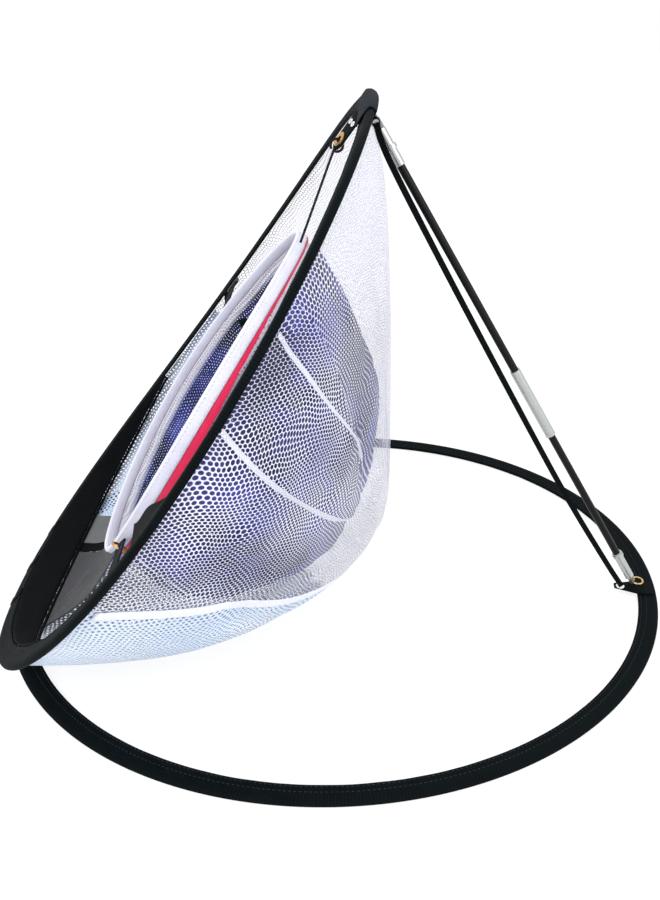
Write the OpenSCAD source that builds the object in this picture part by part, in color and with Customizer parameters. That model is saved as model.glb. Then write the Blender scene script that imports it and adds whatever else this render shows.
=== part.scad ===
// Folding golf chipping net: a flat base hoop, a leaning target hoop with two
// net bags, and a two-piece pole that props the target hoop up.
// X runs across the net, Y from the golfer's side to the back, Z up.

/* [Base hoop] */
// Length of the base hoop from front to back
base_len = 556; // [480:2:640]
// Width of the base hoop
base_wid = 484; // [450:2:540]
// Thickness of the webbing sleeve on the ground
base_t = 4.4; // [4:0.2:7]

/* [Target hoop] */
// Width of the target hoop
hoop_wid = 492; // [440:2:560]
// Length of the target hoop along its slope
hoop_len = 502; // [440:2:580]
// Slope of the target hoop above the ground
hoop_tilt = 52.4; // [45:0.1:62]
// How far tension bows the hoop out of its plane
hoop_bow = 7.8; // [0:0.2:12]
// Thickness of its sleeve round the wire
hoop_t = 5; // [4:0.2:7]
// How far the front of the hoop stands inside the front of the base
hoop_setback = 4; // [0:0.5:12]
// Width of both webbing sleeves
sleeve_w = 16; // [13:0.5:22]

/* [Wires and thread] */
// Diameter of the spring wire in both hoops
wire_d = 2; // [1.4:0.1:2.6]
// Outer diameter of the crimped ferrule that joins a wire's ends
crimp_d = 3; // [2.8:0.1:3.2]
// Length of a crimped ferrule
crimp_len = 18; // [14:1:20]
// Running clearance between pieces
gap = 0.3; // [0.2:0.05:0.5]
// Thickness of net and thin fabric
cloth_t = 1.2; // [0.8:0.1:2]
// Thickness of webbing tape
tape_t = 1.4; // [1:0.1:2]

/* [Inner ring] */
// Outer diameter of the inner ring
ring_d = 290; // [240:2:320]
// Depth of its white sleeve
ring_sleeve_h = 9; // [7:0.5:14]
// Depth of its red band
ring_band_h = 10; // [6:0.5:14]
// Radial thickness of the sleeve
ring_t = 4; // [3.4:0.2:6]
// How far the ring's front edge lies behind the plane of the target hoop
ring_back = 10; // [6:0.5:16]
// How far the inner ring hangs below the middle of the target hoop
ring_drop = 6; // [0:0.5:15]
// How far the inner ring is bent out of its plane
ring_bow = 4.5; // [0:0.5:8]
// Turn of that bend round the ring, in degrees
ring_twist = 28; // [0:1:90]
// Extra slope of the ring against the target hoop
ring_lean = 2.5; // [0:0.1:4]

/* [Net bags] */
// Depth of the outer bag behind the target hoop
outer_depth = 192; // [150:1:215]
// Depth of the inner bag behind its ring
inner_depth = 146; // [110:1:160]
// Depth of the black lip at the front of the hoop
lip_depth = 25; // [16:1:40]
// How far the lip's free edge stands in from the hoop's outer edge
lip_inset = 26.5; // [20:0.5:34]
// Half angle that the lip covers round the bottom of the hoop
lip_reach = 60; // [60:1:110]

/* [Pole] */
// Outer diameter of the pole's tubes
pole_d = 6; // [5:0.2:8]
// Bore of the pole's tubes
pole_bore = 3.6; // [3:0.1:4.2]
// Length of the upper tube from the hinge pin to the middle ferrule's end
upper_len = 276; // [240:1:300]
// Length of the middle ferrule
mid_len = 64; // [56:1:90]
// Wall of every metal ferrule
ferrule_wall = 0.8; // [0.6:0.1:1.4]
// Depth that the lower tube slides into the middle ferrule
plug_len = 32; // [30:1:50]
// Length of the ferrules at the pole's two ends
end_len = 28; // [20:1:40]
// Diameter of the hinge pin at the top of the pole
pin_d = 3; // [2.4:0.1:4]
// Diameter of the elastic cord inside the pole
cord_d = 2.4; // [1.6:0.1:2.8]
// Sideways place of the pole's foot on the base hoop
foot_x = 31; // [0:1:45]
// Height of the foot ring's eye above the ground
foot_z = 9.6; // [9:0.1:14]

/* [Straps] */
// Width of the straps that carry the inner ring
strap_w = 12; // [8:0.5:18]
// Width of the tension strap beside the pole
tension_w = 4.6; // [4:0.5:10]
// Width of the tab that holds the pole's foot
anchor_w = 16; // [12:1:30]
// Outer diameter of the brass grommet at the top
grommet_d = 11; // [9:0.5:13]
// Bore of the brass grommet
grommet_bore = 5; // [4:0.5:6]

/* [Hidden] */

$fn = 64;
hoop_steps = 72;
bag_steps = 48;
bag_rows = 10;
inner_steps = 40;
lip_steps = 40;
ring_steps = 60;

base_a = base_len / 2;
base_b = base_wid / 2;
wire_in = 4.5;
channel_d = crimp_d + 0.2;
ply_gap = 0.2;

hoop_a = hoop_wid / 2;
hoop_b = hoop_len / 2;
binding_r = 1.2;
hoop_seat = base_t + gap;
hoop_y = hoop_setback - base_a + hoop_b * cos(hoop_tilt) + hoop_bow * sin(hoop_tilt);
hoop_z = hoop_seat + hoop_b * sin(hoop_tilt) - (hoop_bow - hoop_t / 2) * cos(hoop_tilt);
seam_t = hoop_t * 0.4;
mouth_inset = 6;
mouth_back = hoop_t / 2 + gap;

ring_r = ring_d / 2;
ring_mid_r = ring_r - ring_t / 2;
ring_total_h = ring_sleeve_h + ring_band_h + gap;
bag_mouth = ring_total_h + gap;

// Places on the base hoop, seen from above
function oval(a, inset, z) = [(base_b - inset) * cos(a), (base_a - inset) * sin(a), z];

// Places on the target hoop, in its own frame: X across, Y up the slope, Z to the golfer
function rim(a, inset, rise) = [
    (hoop_a - inset) * cos(a),
    (hoop_b - inset) * sin(a),
    -hoop_bow * cos(2 * a) + rise
];
function tilt_to_world(p) = [
    p[0],
    hoop_y + p[1] * cos(hoop_tilt) - p[2] * sin(hoop_tilt),
    hoop_z + p[1] * sin(hoop_tilt) + p[2] * cos(hoop_tilt)
];
function world_to_tilt(p) = [
    p[0],
    (p[1] - hoop_y) * cos(hoop_tilt) + (p[2] - hoop_z) * sin(hoop_tilt),
    -(p[1] - hoop_y) * sin(hoop_tilt) + (p[2] - hoop_z) * cos(hoop_tilt)
];
function ring_rise(a) = ring_bow * cos(2 * (a - ring_twist));
function on_ring(a, r, back) =
    let (b = back - ring_rise(a))
    [
        r * cos(a),
        r * sin(a) * cos(ring_lean) + b * sin(ring_lean) - ring_drop,
        r * sin(a) * sin(ring_lean) - ring_back - b * cos(ring_lean)
    ];

// Pin that carries the pole, behind the top of the target hoop
pin_up = hoop_b - sleeve_w + 2;
pin_back = 3.5;
pin_world = tilt_to_world([0, pin_up, -pin_back]);
foot_in = 4.5;
foot_a = acos(foot_x / (base_b - sleeve_w - foot_in));
foot_world = oval(foot_a, sleeve_w + foot_in, foot_z);
pole_v = foot_world - pin_world;
pole_len = norm(pole_v);
pole_drop = atan2(norm([pole_v[1], pole_v[2]]), pole_v[0]) - 90;
pole_slope = atan2(-pole_v[2], pole_v[1]);
ferrule_d = pole_d + 2 * ferrule_wall;
eye_w = 4;
eye_r = 3.4;
ferrule_top = 6;
ring_eye_r = 2.6;
ring_wire_d = 1.6;
foot_ring_r = 4.6;

module in_hoop() {
    translate([0, hoop_y, hoop_z]) rotate([hoop_tilt, 0, 0]) children();
}

module in_ring() {
    in_hoop() translate([0, -ring_drop, -ring_back]) rotate([ring_lean, 0, 0]) children();
}

// Frame of the pole: origin on the hinge pin, -Z runs down the pole to its foot
module in_pole() {
    translate(pin_world) rotate([90 - pole_slope, 0, 0]) rotate([0, pole_drop, 0]) children();
}

// Frame of the pole's eye at its foot, with the pin's own direction across
module in_foot() {
    translate(foot_world) rotate([90 - pole_slope, 0, 0]) children();
}

// Closed loop through rings of points, each ring listed the same way round
module loop_of(rings) {
    n = len(rings);
    m = len(rings[0]);
    polyhedron(
        [for (r = rings) each r],
        [for (i = [0 : n - 1], j = [0 : m - 1])
            let (k = (i + 1) % n, l = (j + 1) % m)
            each [[i * m + j, k * m + l, i * m + l], [i * m + j, k * m + j, k * m + l]]]
    );
}

// Solid through open rings of points, closed flat at both ends
module strip_of(rings) {
    n = len(rings);
    m = len(rings[0]);
    last = (n - 1) * m;
    polyhedron(
        [for (r = rings) each r],
        concat(
            [for (i = [0 : n - 2], j = [0 : m - 1])
                let (l = (j + 1) % m)
                each [
                    [i * m + j, i * m + l, (i + 1) * m + l],
                    [i * m + j, (i + 1) * m + l, (i + 1) * m + j]
                ]],
            [for (j = [1 : m - 2]) [0, j + 1, j]],
            [for (j = [1 : m - 2]) [last, last + j, last + j + 1]]
        )
    );
}

// Folded sheet between two open outlines, the second one lying inside the first
module fold_of(outside, inside) {
    n = len(outside);
    m = len(outside[0]);
    w = 2 * m;
    last = (n - 1) * w;
    polyhedron(
        [for (i = [0 : n - 1]) each concat(outside[i], [for (j = [m - 1 : -1 : 0]) inside[i][j]])],
        concat(
            [for (i = [0 : n - 2], j = [0 : w - 1])
                let (l = (j + 1) % w)
                each [
                    [i * w + j, (i + 1) * w + l, i * w + l],
                    [i * w + j, (i + 1) * w + j, (i + 1) * w + l]
                ]],
            [for (j = [0 : m - 2])
                let (k = w - 1 - j)
                each [[j, k - 1, k], [j, j + 1, k - 1]]],
            [for (j = [0 : m - 2])
                let (k = w - 1 - j)
                each [[last + j, last + k, last + k - 1], [last + j, last + k - 1, last + j + 1]]]
        )
    );
}

// Bag with a wall: rings from the mouth to the tail outside, and back up inside
module sack_of(outside, inside, tail, inner_tail) {
    n = len(outside);
    m = len(outside[0]);
    far = n * m;
    end_out = 2 * far;
    end_in = end_out + 1;
    polyhedron(
        concat([for (r = outside) each r], [for (r = inside) each r], [tail, inner_tail]),
        concat(
            [for (i = [0 : n - 2], j = [0 : m - 1])
                let (l = (j + 1) % m, a = i * m, b = (i + 1) * m)
                each [[a + j, b + l, b + j], [a + j, a + l, b + l]]],
            [for (i = [0 : n - 2], j = [0 : m - 1])
                let (l = (j + 1) % m, a = far + i * m, b = far + (i + 1) * m)
                each [[a + j, b + j, b + l], [a + j, b + l, a + l]]],
            [for (j = [0 : m - 1])
                let (l = (j + 1) % m)
                each [[j, far + l, l], [j, far + j, far + l]]],
            [for (j = [0 : m - 1])
                let (l = (j + 1) % m, b = (n - 1) * m)
                [b + j, b + l, end_out]],
            [for (j = [0 : m - 1])
                let (l = (j + 1) % m, b = far + (n - 1) * m)
                [b + j, end_in, b + l]]
        )
    );
}

// Straight bar of flat tape between two points, its width along the given side
module tape_between(p, q, side, w, t) {
    along = (q - p) / norm(q - p);
    across = side - along * (side * along);
    u = across / norm(across) * w / 2;
    v = cross(along, u / norm(u)) * t / 2;
    strip_of([for (c = [p, q]) [c + u + v, c + u - v, c - u - v, c - u + v]]);
}

// Section of either sleeve: tape folded round the wire, its two plies flat beside it
channel_r = channel_d / 2 + 0.2;
function sleeve_section(t, seam) = [
    [0, 0], [1, -t * 0.36], [wire_in - 1, -t / 2], [wire_in + 3, -t * 0.4],
    [wire_in + 5.5, -seam / 2], [sleeve_w, -seam / 2], [sleeve_w, -ply_gap / 2],
    [wire_in + channel_r, -ply_gap / 2], [wire_in + channel_r * 0.4, -channel_r],
    [wire_in - channel_r * 0.7, -channel_r * 0.8], [wire_in - channel_r * 1.05, 0],
    [wire_in - channel_r * 0.7, channel_r * 0.8], [wire_in + channel_r * 0.4, channel_r],
    [wire_in + channel_r, ply_gap / 2], [sleeve_w, ply_gap / 2], [sleeve_w, seam / 2],
    [wire_in + 5.5, seam / 2], [wire_in + 3, t * 0.4], [wire_in - 1, t / 2],
    [1, t * 0.36]
];
flat_section = [
    [0, base_t * 0.6], [1.2, 0], [sleeve_w, 0], [sleeve_w, (base_t - ply_gap) / 2],
    [wire_in + channel_r, (base_t - ply_gap) / 2],
    [wire_in + channel_r * 0.4, base_t / 2 - channel_r],
    [wire_in - channel_r * 0.7, base_t / 2 - channel_r * 0.8],
    [wire_in - channel_r * 1.05, base_t / 2],
    [wire_in - channel_r * 0.7, base_t / 2 + channel_r * 0.8],
    [wire_in + channel_r * 0.4, base_t / 2 + channel_r],
    [wire_in + channel_r, (base_t + ply_gap) / 2],
    [sleeve_w, (base_t + ply_gap) / 2], [sleeve_w, base_t - 0.6], [sleeve_w - 1, base_t],
    [2, base_t]
];
function round_section(mid, d, n) = [
    for (i = [0 : n - 1]) [mid - d / 2 * cos(i * 360 / n), -d / 2 * sin(i * 360 / n)]
];
function base_loop(section, lift) = [
    for (i = [0 : hoop_steps - 1]) [
        for (p = section) oval(i * 360 / hoop_steps, p[0], p[1] + lift)
    ]
];

// Crimped tube on the wire, in the straight between two of its stations
module crimp(p, q) {
    v = q - p;
    translate((p + q) / 2) rotate([0, acos(v[2] / norm(v)), atan2(v[1], v[0])]) difference() {
        cylinder(d = crimp_d, h = crimp_len, center = true, $fn = 24);
        cylinder(d = wire_d + 0.1, h = crimp_len + 1, center = true, $fn = 24);
    }
}

module base_wire() {
    color("silver") loop_of(base_loop(round_section(wire_in, wire_d, 6), base_t / 2));
}

module base_crimp() {
    step = 360 / hoop_steps;
    color("gray") crimp(oval(180, wire_in, base_t / 2), oval(180 + step, wire_in, base_t / 2));
}

module base_sleeve() {
    color("#16191c") loop_of(base_loop(flat_section, 0));
}

// Frame of the anchor: origin under the pole's foot, Y straight out across the base hoop
module at_anchor() {
    turn = atan2(foot_world[1] / pow(base_a, 2), foot_x / pow(base_b, 2));
    translate([foot_x, foot_world[1], base_t]) rotate([0, 0, turn - 90]) children();
}

eyelet_at = [4, -10, 0];
module anchor_tab() {
    color("#1c1f22") at_anchor() difference() {
        linear_extrude(tape_t) polygon([
            [eyelet_at[0] - 4, eyelet_at[1] - 5], [eyelet_at[0] + 2, eyelet_at[1] - 5],
            [anchor_w / 2 + 3, foot_in - 2], [anchor_w / 2 + 3, sleeve_w + foot_in - 2],
            [3 - anchor_w / 2, sleeve_w + foot_in - 2], [3 - anchor_w / 2, foot_in - 2]
        ]);
        translate(eyelet_at - [0, 0, 1]) cylinder(d = 4.4, h = 5);
    }
}

module anchor_eyelet() {
    color("silver") at_anchor() translate(eyelet_at) difference() {
        union() {
            cylinder(d = 4.2, h = tape_t);
            translate([0, 0, tape_t]) cylinder(d = 7, h = 0.6);
        }
        translate([0, 0, -1]) cylinder(d = 2.6, h = 5);
    }
}

// Living hinge: one tape lies on the base, the other on the target hoop
tape_half = 11;
tape_turns = [-12, 0, 12];
module hinge_tape_lower() {
    color("#1a1d20") for (turn = tape_turns) {
        translate(oval(270 + turn, 0.5, base_t)) rotate([0, 0, turn])
            translate([-tape_half / 2, 0, 0]) cube([tape_half, hoop_setback - 1, tape_t]);
    }
}

module hinge_tape_upper() {
    color("#1a1d20") in_hoop() for (turn = tape_turns) {
        strip_of([for (k = [0 : 3])
            let (a = 270 + turn - 1.2 + k * 0.8)
            [
                rim(a, sleeve_w + gap, seam_t / 2 + gap),
                rim(a, 2, hoop_t / 2 + gap),
                rim(a, 2, hoop_t / 2 + gap + tape_t),
                rim(a, sleeve_w + gap, seam_t / 2 + gap + tape_t)
            ]]);
    }
}

function hoop_rings(section, from, to, steps) = [
    for (i = [0 : steps]) [for (p = section) rim(from + (to - from) * i / steps, p[0], p[1])]
];
function hoop_loop(section) = [
    for (i = [0 : hoop_steps - 1]) [for (p = section) rim(i * 360 / hoop_steps, p[0], p[1])]
];

module hoop_wire() {
    color("silver") in_hoop() loop_of(hoop_loop(round_section(wire_in, wire_d, 6)));
}

module hoop_crimp() {
    step = 360 / hoop_steps;
    color("gray") in_hoop() crimp(rim(180, wire_in, 0), rim(180 + step, wire_in, 0));
}

module hoop_sleeve() {
    color("#16191c") in_hoop() loop_of(hoop_loop(sleeve_section(hoop_t, seam_t)));
}

// Fabric cap over the top of the hoop
cap_reach = 11;
module top_cap() {
    out = tape_t + gap;
    half = hoop_t / 2 + gap;
    shell = [
        [sleeve_w, seam_t / 2 + gap + tape_t], [wire_in + 4, half + tape_t],
        [wire_in, half + tape_t], [1 - out, half + tape_t - 1], [-out, 0],
        [1 - out, 1 - half - tape_t], [wire_in - 1, -half - tape_t],
        [mouth_inset - gap - 0.2, -half - tape_t]
    ];
    lining = [
        [sleeve_w, seam_t / 2 + gap], [wire_in + 4, half], [wire_in, half],
        [0.6 - gap, half - 0.7], [-gap, 0], [0.6 - gap, 0.7 - half],
        [wire_in - 1, -half], [mouth_inset - gap - 0.2, -half]
    ];
    color("#22262a") in_hoop() fold_of(
        hoop_rings(shell, 90 - cap_reach, 90 + cap_reach, 6),
        hoop_rings(lining, 90 - cap_reach, 90 + cap_reach, 6)
    );
}

// Black lip: fabric from the hoop's seam back to a free edge, deepest at the bottom
lip_side = sleeve_w + gap + cloth_t / 2;
lip_end_w = 2.5;
function lip_out(b) = [sin(b), -cos(b), 0];
function lip_in(b) =
    lip_side + 1.5 + (lip_inset - lip_side - 1.5) * pow(cos(min(2 * abs(b), 90)), 2);
function lip_drop(b) = lip_end_w + (lip_depth - lip_end_w) * cos(b * 90 / lip_reach);
function lip_seam(b) = rim(270 + b, lip_side, 0);
function lip_edge(b) = rim(270 + b, lip_in(b), -lip_drop(b));
function lip_fall(b) =
    let (v = lip_edge(b) - lip_seam(b), d = [v * lip_out(b), v[2]])
    d / norm(d);
function lip_at(b, p, along, over) =
    let (d = lip_fall(b))
    p + lip_out(b) * (d[0] * along - d[1] * over) + [0, 0, d[1] * along + d[0] * over];
function lip_angles() = [for (i = [0 : lip_steps]) lip_reach * (2 * i / lip_steps - 1)];

module lip() {
    t = cloth_t / 2;
    color("#101215") in_hoop() strip_of([
        for (b = lip_angles())
            let (p = lip_seam(b), q = lip_edge(b))
            [lip_at(b, p, 0, -t), lip_at(b, q, 0, -t), lip_at(b, q, 0, t), lip_at(b, p, 0, t)]
    ]);
}

module lip_binding() {
    color("#0c0e10") in_hoop() strip_of([
        for (b = lip_angles())
            [for (k = [0 : 5])
                lip_at(b, lip_edge(b), binding_r + gap + binding_r * cos(60 * k), binding_r * sin(60 * k))]
    ]);
}

// Outer bag: sections at growing depth, from the hoop's mouth to a small tail
function sign_pow(x, e) = sign(x) * pow(abs(x), e);
function outer_top(d) = hoop_b + 15 - 1.32 * d - (14 + sleeve_w) * exp(-d / 26);
function outer_low(d) = -(hoop_b - mouth_inset) + 0.64 * d + 95 * pow(d / outer_depth, 4);
function outer_wide(d) = (hoop_a - mouth_inset) * sqrt(max(0, 1 - pow(d / outer_depth, 1.25) * 0.992));
function outer_point(u, a, t) =
    let (
        d = (outer_depth - t) * sin(90 * u),
        e = 1 - 0.1 * sin(180 * u),
        top = outer_top(d) - 12 * pow(u, 8),
        low = outer_low(d),
        mid = (top + low) / 2,
        half = (top - low) / 2 - t
    )
    [
        (outer_wide(d) - t) * sign_pow(cos(a), e),
        mid + half * sign_pow(sin(a), e),
        -d - mouth_back - hoop_bow * cos(2 * a) * (1 - u)
    ];
function outer_rings(t) = [
    for (i = [0 : bag_rows]) [
        for (j = [0 : bag_steps - 1]) outer_point(i / bag_rows * 0.985, j * 360 / bag_steps, t)
    ]
];
function mean_of(ring) = [for (k = [0 : 2]) [for (p = ring) p[k]] * [for (p = ring) 1 / len(ring)]];

module outer_net() {
    outside = outer_rings(0);
    inside = outer_rings(cloth_t);
    color("#e6ecf6") in_hoop() sack_of(
        outside, inside,
        mean_of(outside[bag_rows]) - [0, 0, 0.5],
        mean_of(inside[bag_rows]) - [0, 0, 0.2]
    );
}

// Inner bag: hangs from the ring and droops towards the ground
function inner_point(u, a, t) =
    let (
        d = (inner_depth - t) * sin(90 * u),
        v = d / inner_depth,
        hang = ring_r - ring_t / 2,
        top = hang - 0.4 * d - 90 * pow(v, 4),
        low = -hang - 16 * sin(180 * v) + 92 * pow(v, 2.5),
        wide = hang * sqrt(max(0, 1 - 0.985 * pow(v, 2.6))) * (1 + 0.05 * sin(180 * v))
    )
    [
        (wide - t) * cos(a),
        (top + low) / 2 + ((top - low) / 2 - t) * sin(a),
        ring_rise(a) * pow(cos(90 * u), 2) - d - bag_mouth
    ];
function inner_rings(t) = [
    for (i = [0 : bag_rows]) [
        for (j = [0 : inner_steps - 1]) inner_point(i / bag_rows * 0.985, j * 360 / inner_steps, t)
    ]
];

module inner_net() {
    outside = inner_rings(0);
    inside = inner_rings(cloth_t);
    color("#5a67c8") in_ring() sack_of(
        outside, inside,
        mean_of(outside[bag_rows]) - [0, 0, 0.5],
        mean_of(inside[bag_rows]) - [0, 0, 0.2]
    );
}

// Sections of the ring, from its outer face inwards and from its front edge back
ring_wire_at = ring_sleeve_h / 2;
ring_channel = wire_d / 2 + 0.2;
ring_fold = [
    [0, 2], [0.6, 0.6], [2, 0], [ring_t - 0.6, 0.6], [ring_t, 2],
    [ring_t, ring_sleeve_h - 0.5], [ring_t - 0.5, ring_sleeve_h],
    [(ring_t + ply_gap) / 2, ring_sleeve_h],
    [(ring_t + ply_gap) / 2, ring_wire_at + ring_channel],
    [ring_t / 2 + ring_channel, ring_wire_at + 0.5], [ring_t / 2 + ring_channel, ring_wire_at - 0.5],
    [ring_t / 2, ring_wire_at - ring_channel - 0.1],
    [ring_t / 2 - ring_channel, ring_wire_at - 0.5], [ring_t / 2 - ring_channel, ring_wire_at + 0.5],
    [(ring_t - ply_gap) / 2, ring_wire_at + ring_channel], [(ring_t - ply_gap) / 2, ring_sleeve_h],
    [0.5, ring_sleeve_h], [0, ring_sleeve_h - 0.5]
];
function ring_loop(section) = [
    for (i = [0 : ring_steps - 1]) [
        for (p = section) on_ring(-i * 360 / ring_steps, ring_r - p[0], p[1])
    ]
];
module ring_wire() {
    section = [for (k = [0 : 5]) [ring_t / 2 + wire_d / 2 * sin(-60 * k), ring_wire_at + wire_d / 2 * cos(60 * k)]];
    color("silver") in_hoop() loop_of(ring_loop(section));
}

module ring_sleeve() {
    color("white") in_hoop() loop_of(ring_loop(ring_fold));
}

module ring_band() {
    front = ring_sleeve_h + gap;
    color("#e02048") in_hoop() loop_of(ring_loop([
        [0.6, front + 0.8], [1.4, front], [ring_t - 1.4, front], [ring_t - 0.6, front + 0.8],
        [ring_t - 0.6, ring_total_h - 0.8], [ring_t - 1.4, ring_total_h], [1.4, ring_total_h],
        [0.6, ring_total_h - 0.8]
    ]));
}

// Webbing tab inside the top of the hoop, with a brass grommet for the cord
tab_len = 30;
tab_w = 15;
grommet_at = hoop_b - sleeve_w - gap - tab_len + tab_w / 2;
tab_turn = 17;
tab_n = hoop_bow + 0.4;
module in_tab() {
    in_hoop() translate([0, 0, tab_n]) rotate([0, tab_turn, 0]) children();
}

module top_tab() {
    top = hoop_b - sleeve_w - 2 * gap;
    color("#1a1d20") in_tab() difference() {
        union() {
            translate([-tab_w / 2, grommet_at, -tape_t / 2]) cube([tab_w, top - grommet_at, tape_t]);
            translate([0, grommet_at, -tape_t / 2]) cylinder(d = tab_w, h = tape_t);
        }
        translate([0, grommet_at, -2]) cylinder(d = grommet_bore + 1.6, h = 4);
        for (x = [-3, 3]) translate([x, top - 8, -2]) cylinder(d = 2.4, h = 4);
    }
}

module top_grommet() {
    color("#c9962e") in_tab() translate([0, grommet_at, 0]) difference() {
        union() {
            cylinder(d = grommet_bore + 1.5, h = tape_t, center = true);
            for (side = [-1, 1]) {
                translate([0, 0, side * (tape_t / 2 + 0.4)]) cylinder(d = grommet_d, h = 0.8, center = true);
            }
        }
        cylinder(d = grommet_bore, h = 6, center = true);
    }
}

// Cord from the grommet down to the top of the inner ring
suspension_d = 1.8;
cord_loop_r = (tab_w / 2 + suspension_d / 2 + gap) / 2;
module suspension_cord() {
    ring_a = 85;
    p = [0, grommet_at - 2 * cord_loop_r, tab_n];
    q = on_ring(ring_a, ring_r + suspension_d / 2 + gap, ring_sleeve_h / 2);
    v = q - p;
    color("#111214") in_hoop() {
        translate([0, grommet_at - cord_loop_r, tab_n]) rotate([0, 90, 0])
            rotate_extrude() translate([cord_loop_r, 0]) circle(d = suspension_d, $fn = 16);
        translate(p) rotate([0, acos(v[2] / norm(v)), atan2(v[1], v[0])])
            cylinder(d = suspension_d, h = norm(v), $fn = 16);
    }
}

// Straps at the two sides, from the hoop's seam to the inner ring
strap_back = seam_t / 2 + gap + tape_t / 2;
function far_end(out) = rim(180, sleeve_w + out, -strap_back);

buckle_at = 8;
module far_tab() {
    color("#1a1d20") in_hoop()
        tape_between(far_end(-4), far_end(buckle_at - 5 - gap), [0, 1, 0], strap_w, tape_t);
}

module far_strap() {
    color("#1a1d20") in_hoop()
        tape_between(far_end(buckle_at + 6 + gap), on_ring(180, ring_r + gap + 0.2, ring_sleeve_h / 2), [0, 1, 0], strap_w, tape_t);
}

module far_buckle() {
    color("#2a2d31") in_hoop() translate(far_end(buckle_at)) difference() {
        translate([-5, -strap_w / 2 - 2, -1.6]) cube([10, strap_w + 4, 3.2]);
        for (x = [-2.4, 2.4]) translate([x - 0.9, -strap_w / 2, -3]) cube([1.8, strap_w, 6]);
    }
}

// Loose end of the far strap, cut on the slant, hanging from its buckle
module far_tail() {
    p = far_end(buckle_at + 1);
    color("#1a1d20") in_hoop() translate(p + [0, -strap_w / 2 - 2.4, 0.4]) rotate([-hoop_tilt, 0, 0])
        rotate([90, 0, 0]) linear_extrude(1) polygon([[-3.5, 0], [-3.5, -20], [3.5, -27], [3.5, 0]]);
}

// Near strap: from the hoop's seam down to the ring, joined by a brass link
near_turn = -28;
near_from = rim(-6, sleeve_w - 4, -strap_back - 0.4);
near_to = on_ring(near_turn, ring_r + gap + 0.2, ring_sleeve_h / 2);
near_v = (near_to - near_from) / norm(near_to - near_from);
near_side = [-near_v[1], near_v[0], 0] * strap_w / 2;
function near_at(d) = near_from + near_v * d;
link_d = norm(near_to - near_from) - 24;
module near_strap() {
    v = [0, 0, tape_t / 2];
    end = [-sin(near_turn), cos(near_turn), 0] * strap_w / 2;
    color("#1a1d20") in_hoop() difference() {
        strip_of([for (c = [[near_at(link_d + 8), -near_side], [near_to, end]])
            [c[0] + c[1] + v, c[0] - c[1] + v, c[0] - c[1] - v, c[0] + c[1] - v]]);
        translate(near_at(link_d + 11.5) - [0, 0, 3]) cylinder(d = 2.6, h = 6);
    }
}

module near_tab() {
    color("#1a1d20") in_hoop() difference() {
        tape_between(near_from, near_at(link_d + 3), near_side, strap_w, tape_t);
        translate(near_at(link_d) - [0, 0, 3]) cylinder(d = 2.6, h = 6);
    }
}

// Brass link through the holes of the near strap and its tab
module near_link() {
    from = near_at(link_d);
    to = near_at(link_d + 11.5);
    r = norm(to - from) / 2;
    color("#c9962e") in_hoop() translate((from + to) / 2)
        rotate([90, 0, atan2(near_v[1], near_v[0])])
        rotate_extrude() translate([r, 0]) circle(d = 1.6, $fn = 16);
}

// Wide black panel between the near side of the hoop and the ring
function side_ring(h, a) =
    let (
        p = rim(h, sleeve_w - 4, -strap_back),
        q = on_ring(a, ring_r + gap + tape_t / 2, ring_sleeve_h / 2),
        t = [0, 0, tape_t / 2]
    )
    [p + t, q + t, q - t, p - t];
module near_panel() {
    color("#16181b") in_hoop() strip_of([for (i = [0 : 6]) side_ring(-1 + 13 * i / 6, -17 + 20 * i / 6)]);
}

// Loose end of a strap, cut on the slant, against the inside of the ring
module ring_tail() {
    turn = 45;
    color("#1a1d20") in_ring() rotate([0, 0, turn])
        translate([ring_r - ring_t - gap - 1.3, 0, ring_rise(turn) - 6]) rotate([-42, 0, 0])
        rotate([0, 90, 0]) linear_extrude(1) polygon([[-11, -3], [6, -3], [11, 3], [-11, 3]]);
}

// Panel, hem and net that fill the gap between the lip and the bottom of the ring
web_sag = 9;
function web_ring(b, a, back) =
    let (
        p = lip_edge(b) - [0, 0, 5],
        q = on_ring(a, ring_r + gap + 0.1, back),
        m = (p + q) / 2 - [0, 0, web_sag],
        t = [0, 0, cloth_t / 2]
    )
    [p + t, m + t, q + t, q - t, m - t, p - t];
module web(b0, b1, a0, a1, steps) {
    in_hoop() strip_of([for (i = [0 : steps])
        web_ring(b0 + (b1 - b0) * i / steps, a0 + (a1 - a0) * i / steps, ring_sleeve_h / 2)]);
}

module bottom_panel() {
    color("#8e9296") web(-18, -8.5, 266, 281, 4);
}

module bottom_hem() {
    color("#101215") web(-8.3, -5.3, 281.3, 286, 3);
}

module bottom_net() {
    color("#4a4a66") web(-5.1, 25, 286.3, 325, 12);
}

// Webbing loop and pin that carry the top of the pole
loop_w = 14;
loop_r = pin_d / 2 + tape_t + 0.2;
module pole_loop() {
    color("#1a1d20") in_hoop() difference() {
        union() {
            translate([0, pin_up, -pin_back]) rotate([0, 90, 0])
                cylinder(r = loop_r, h = loop_w, center = true);
            translate([-loop_w / 2, pin_up + loop_r - tape_t, -pin_back])
                cube([loop_w, tape_t, pin_back + hoop_bow - seam_t / 2 - gap]);
        }
        translate([0, pin_up, -pin_back]) rotate([0, 90, 0])
            cylinder(d = pin_d, h = 2 * loop_w, center = true);
        translate([0, pin_up, -pin_back]) rotate([0, 90, 0])
            cylinder(r = ferrule_top + 2.4, h = eye_w + 2 * gap, center = true);
    }
}

module pole_pin() {
    color("silver") in_hoop() translate([0, pin_up, -pin_back]) rotate([0, 90, 0]) {
        cylinder(d = pin_d, h = loop_w + 1, center = true);
        for (side = [-1, 1]) {
            translate([0, 0, side * (loop_w / 2 + 0.8)]) cylinder(d = pin_d + 1.6, h = 1, center = true);
        }
    }
}

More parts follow.
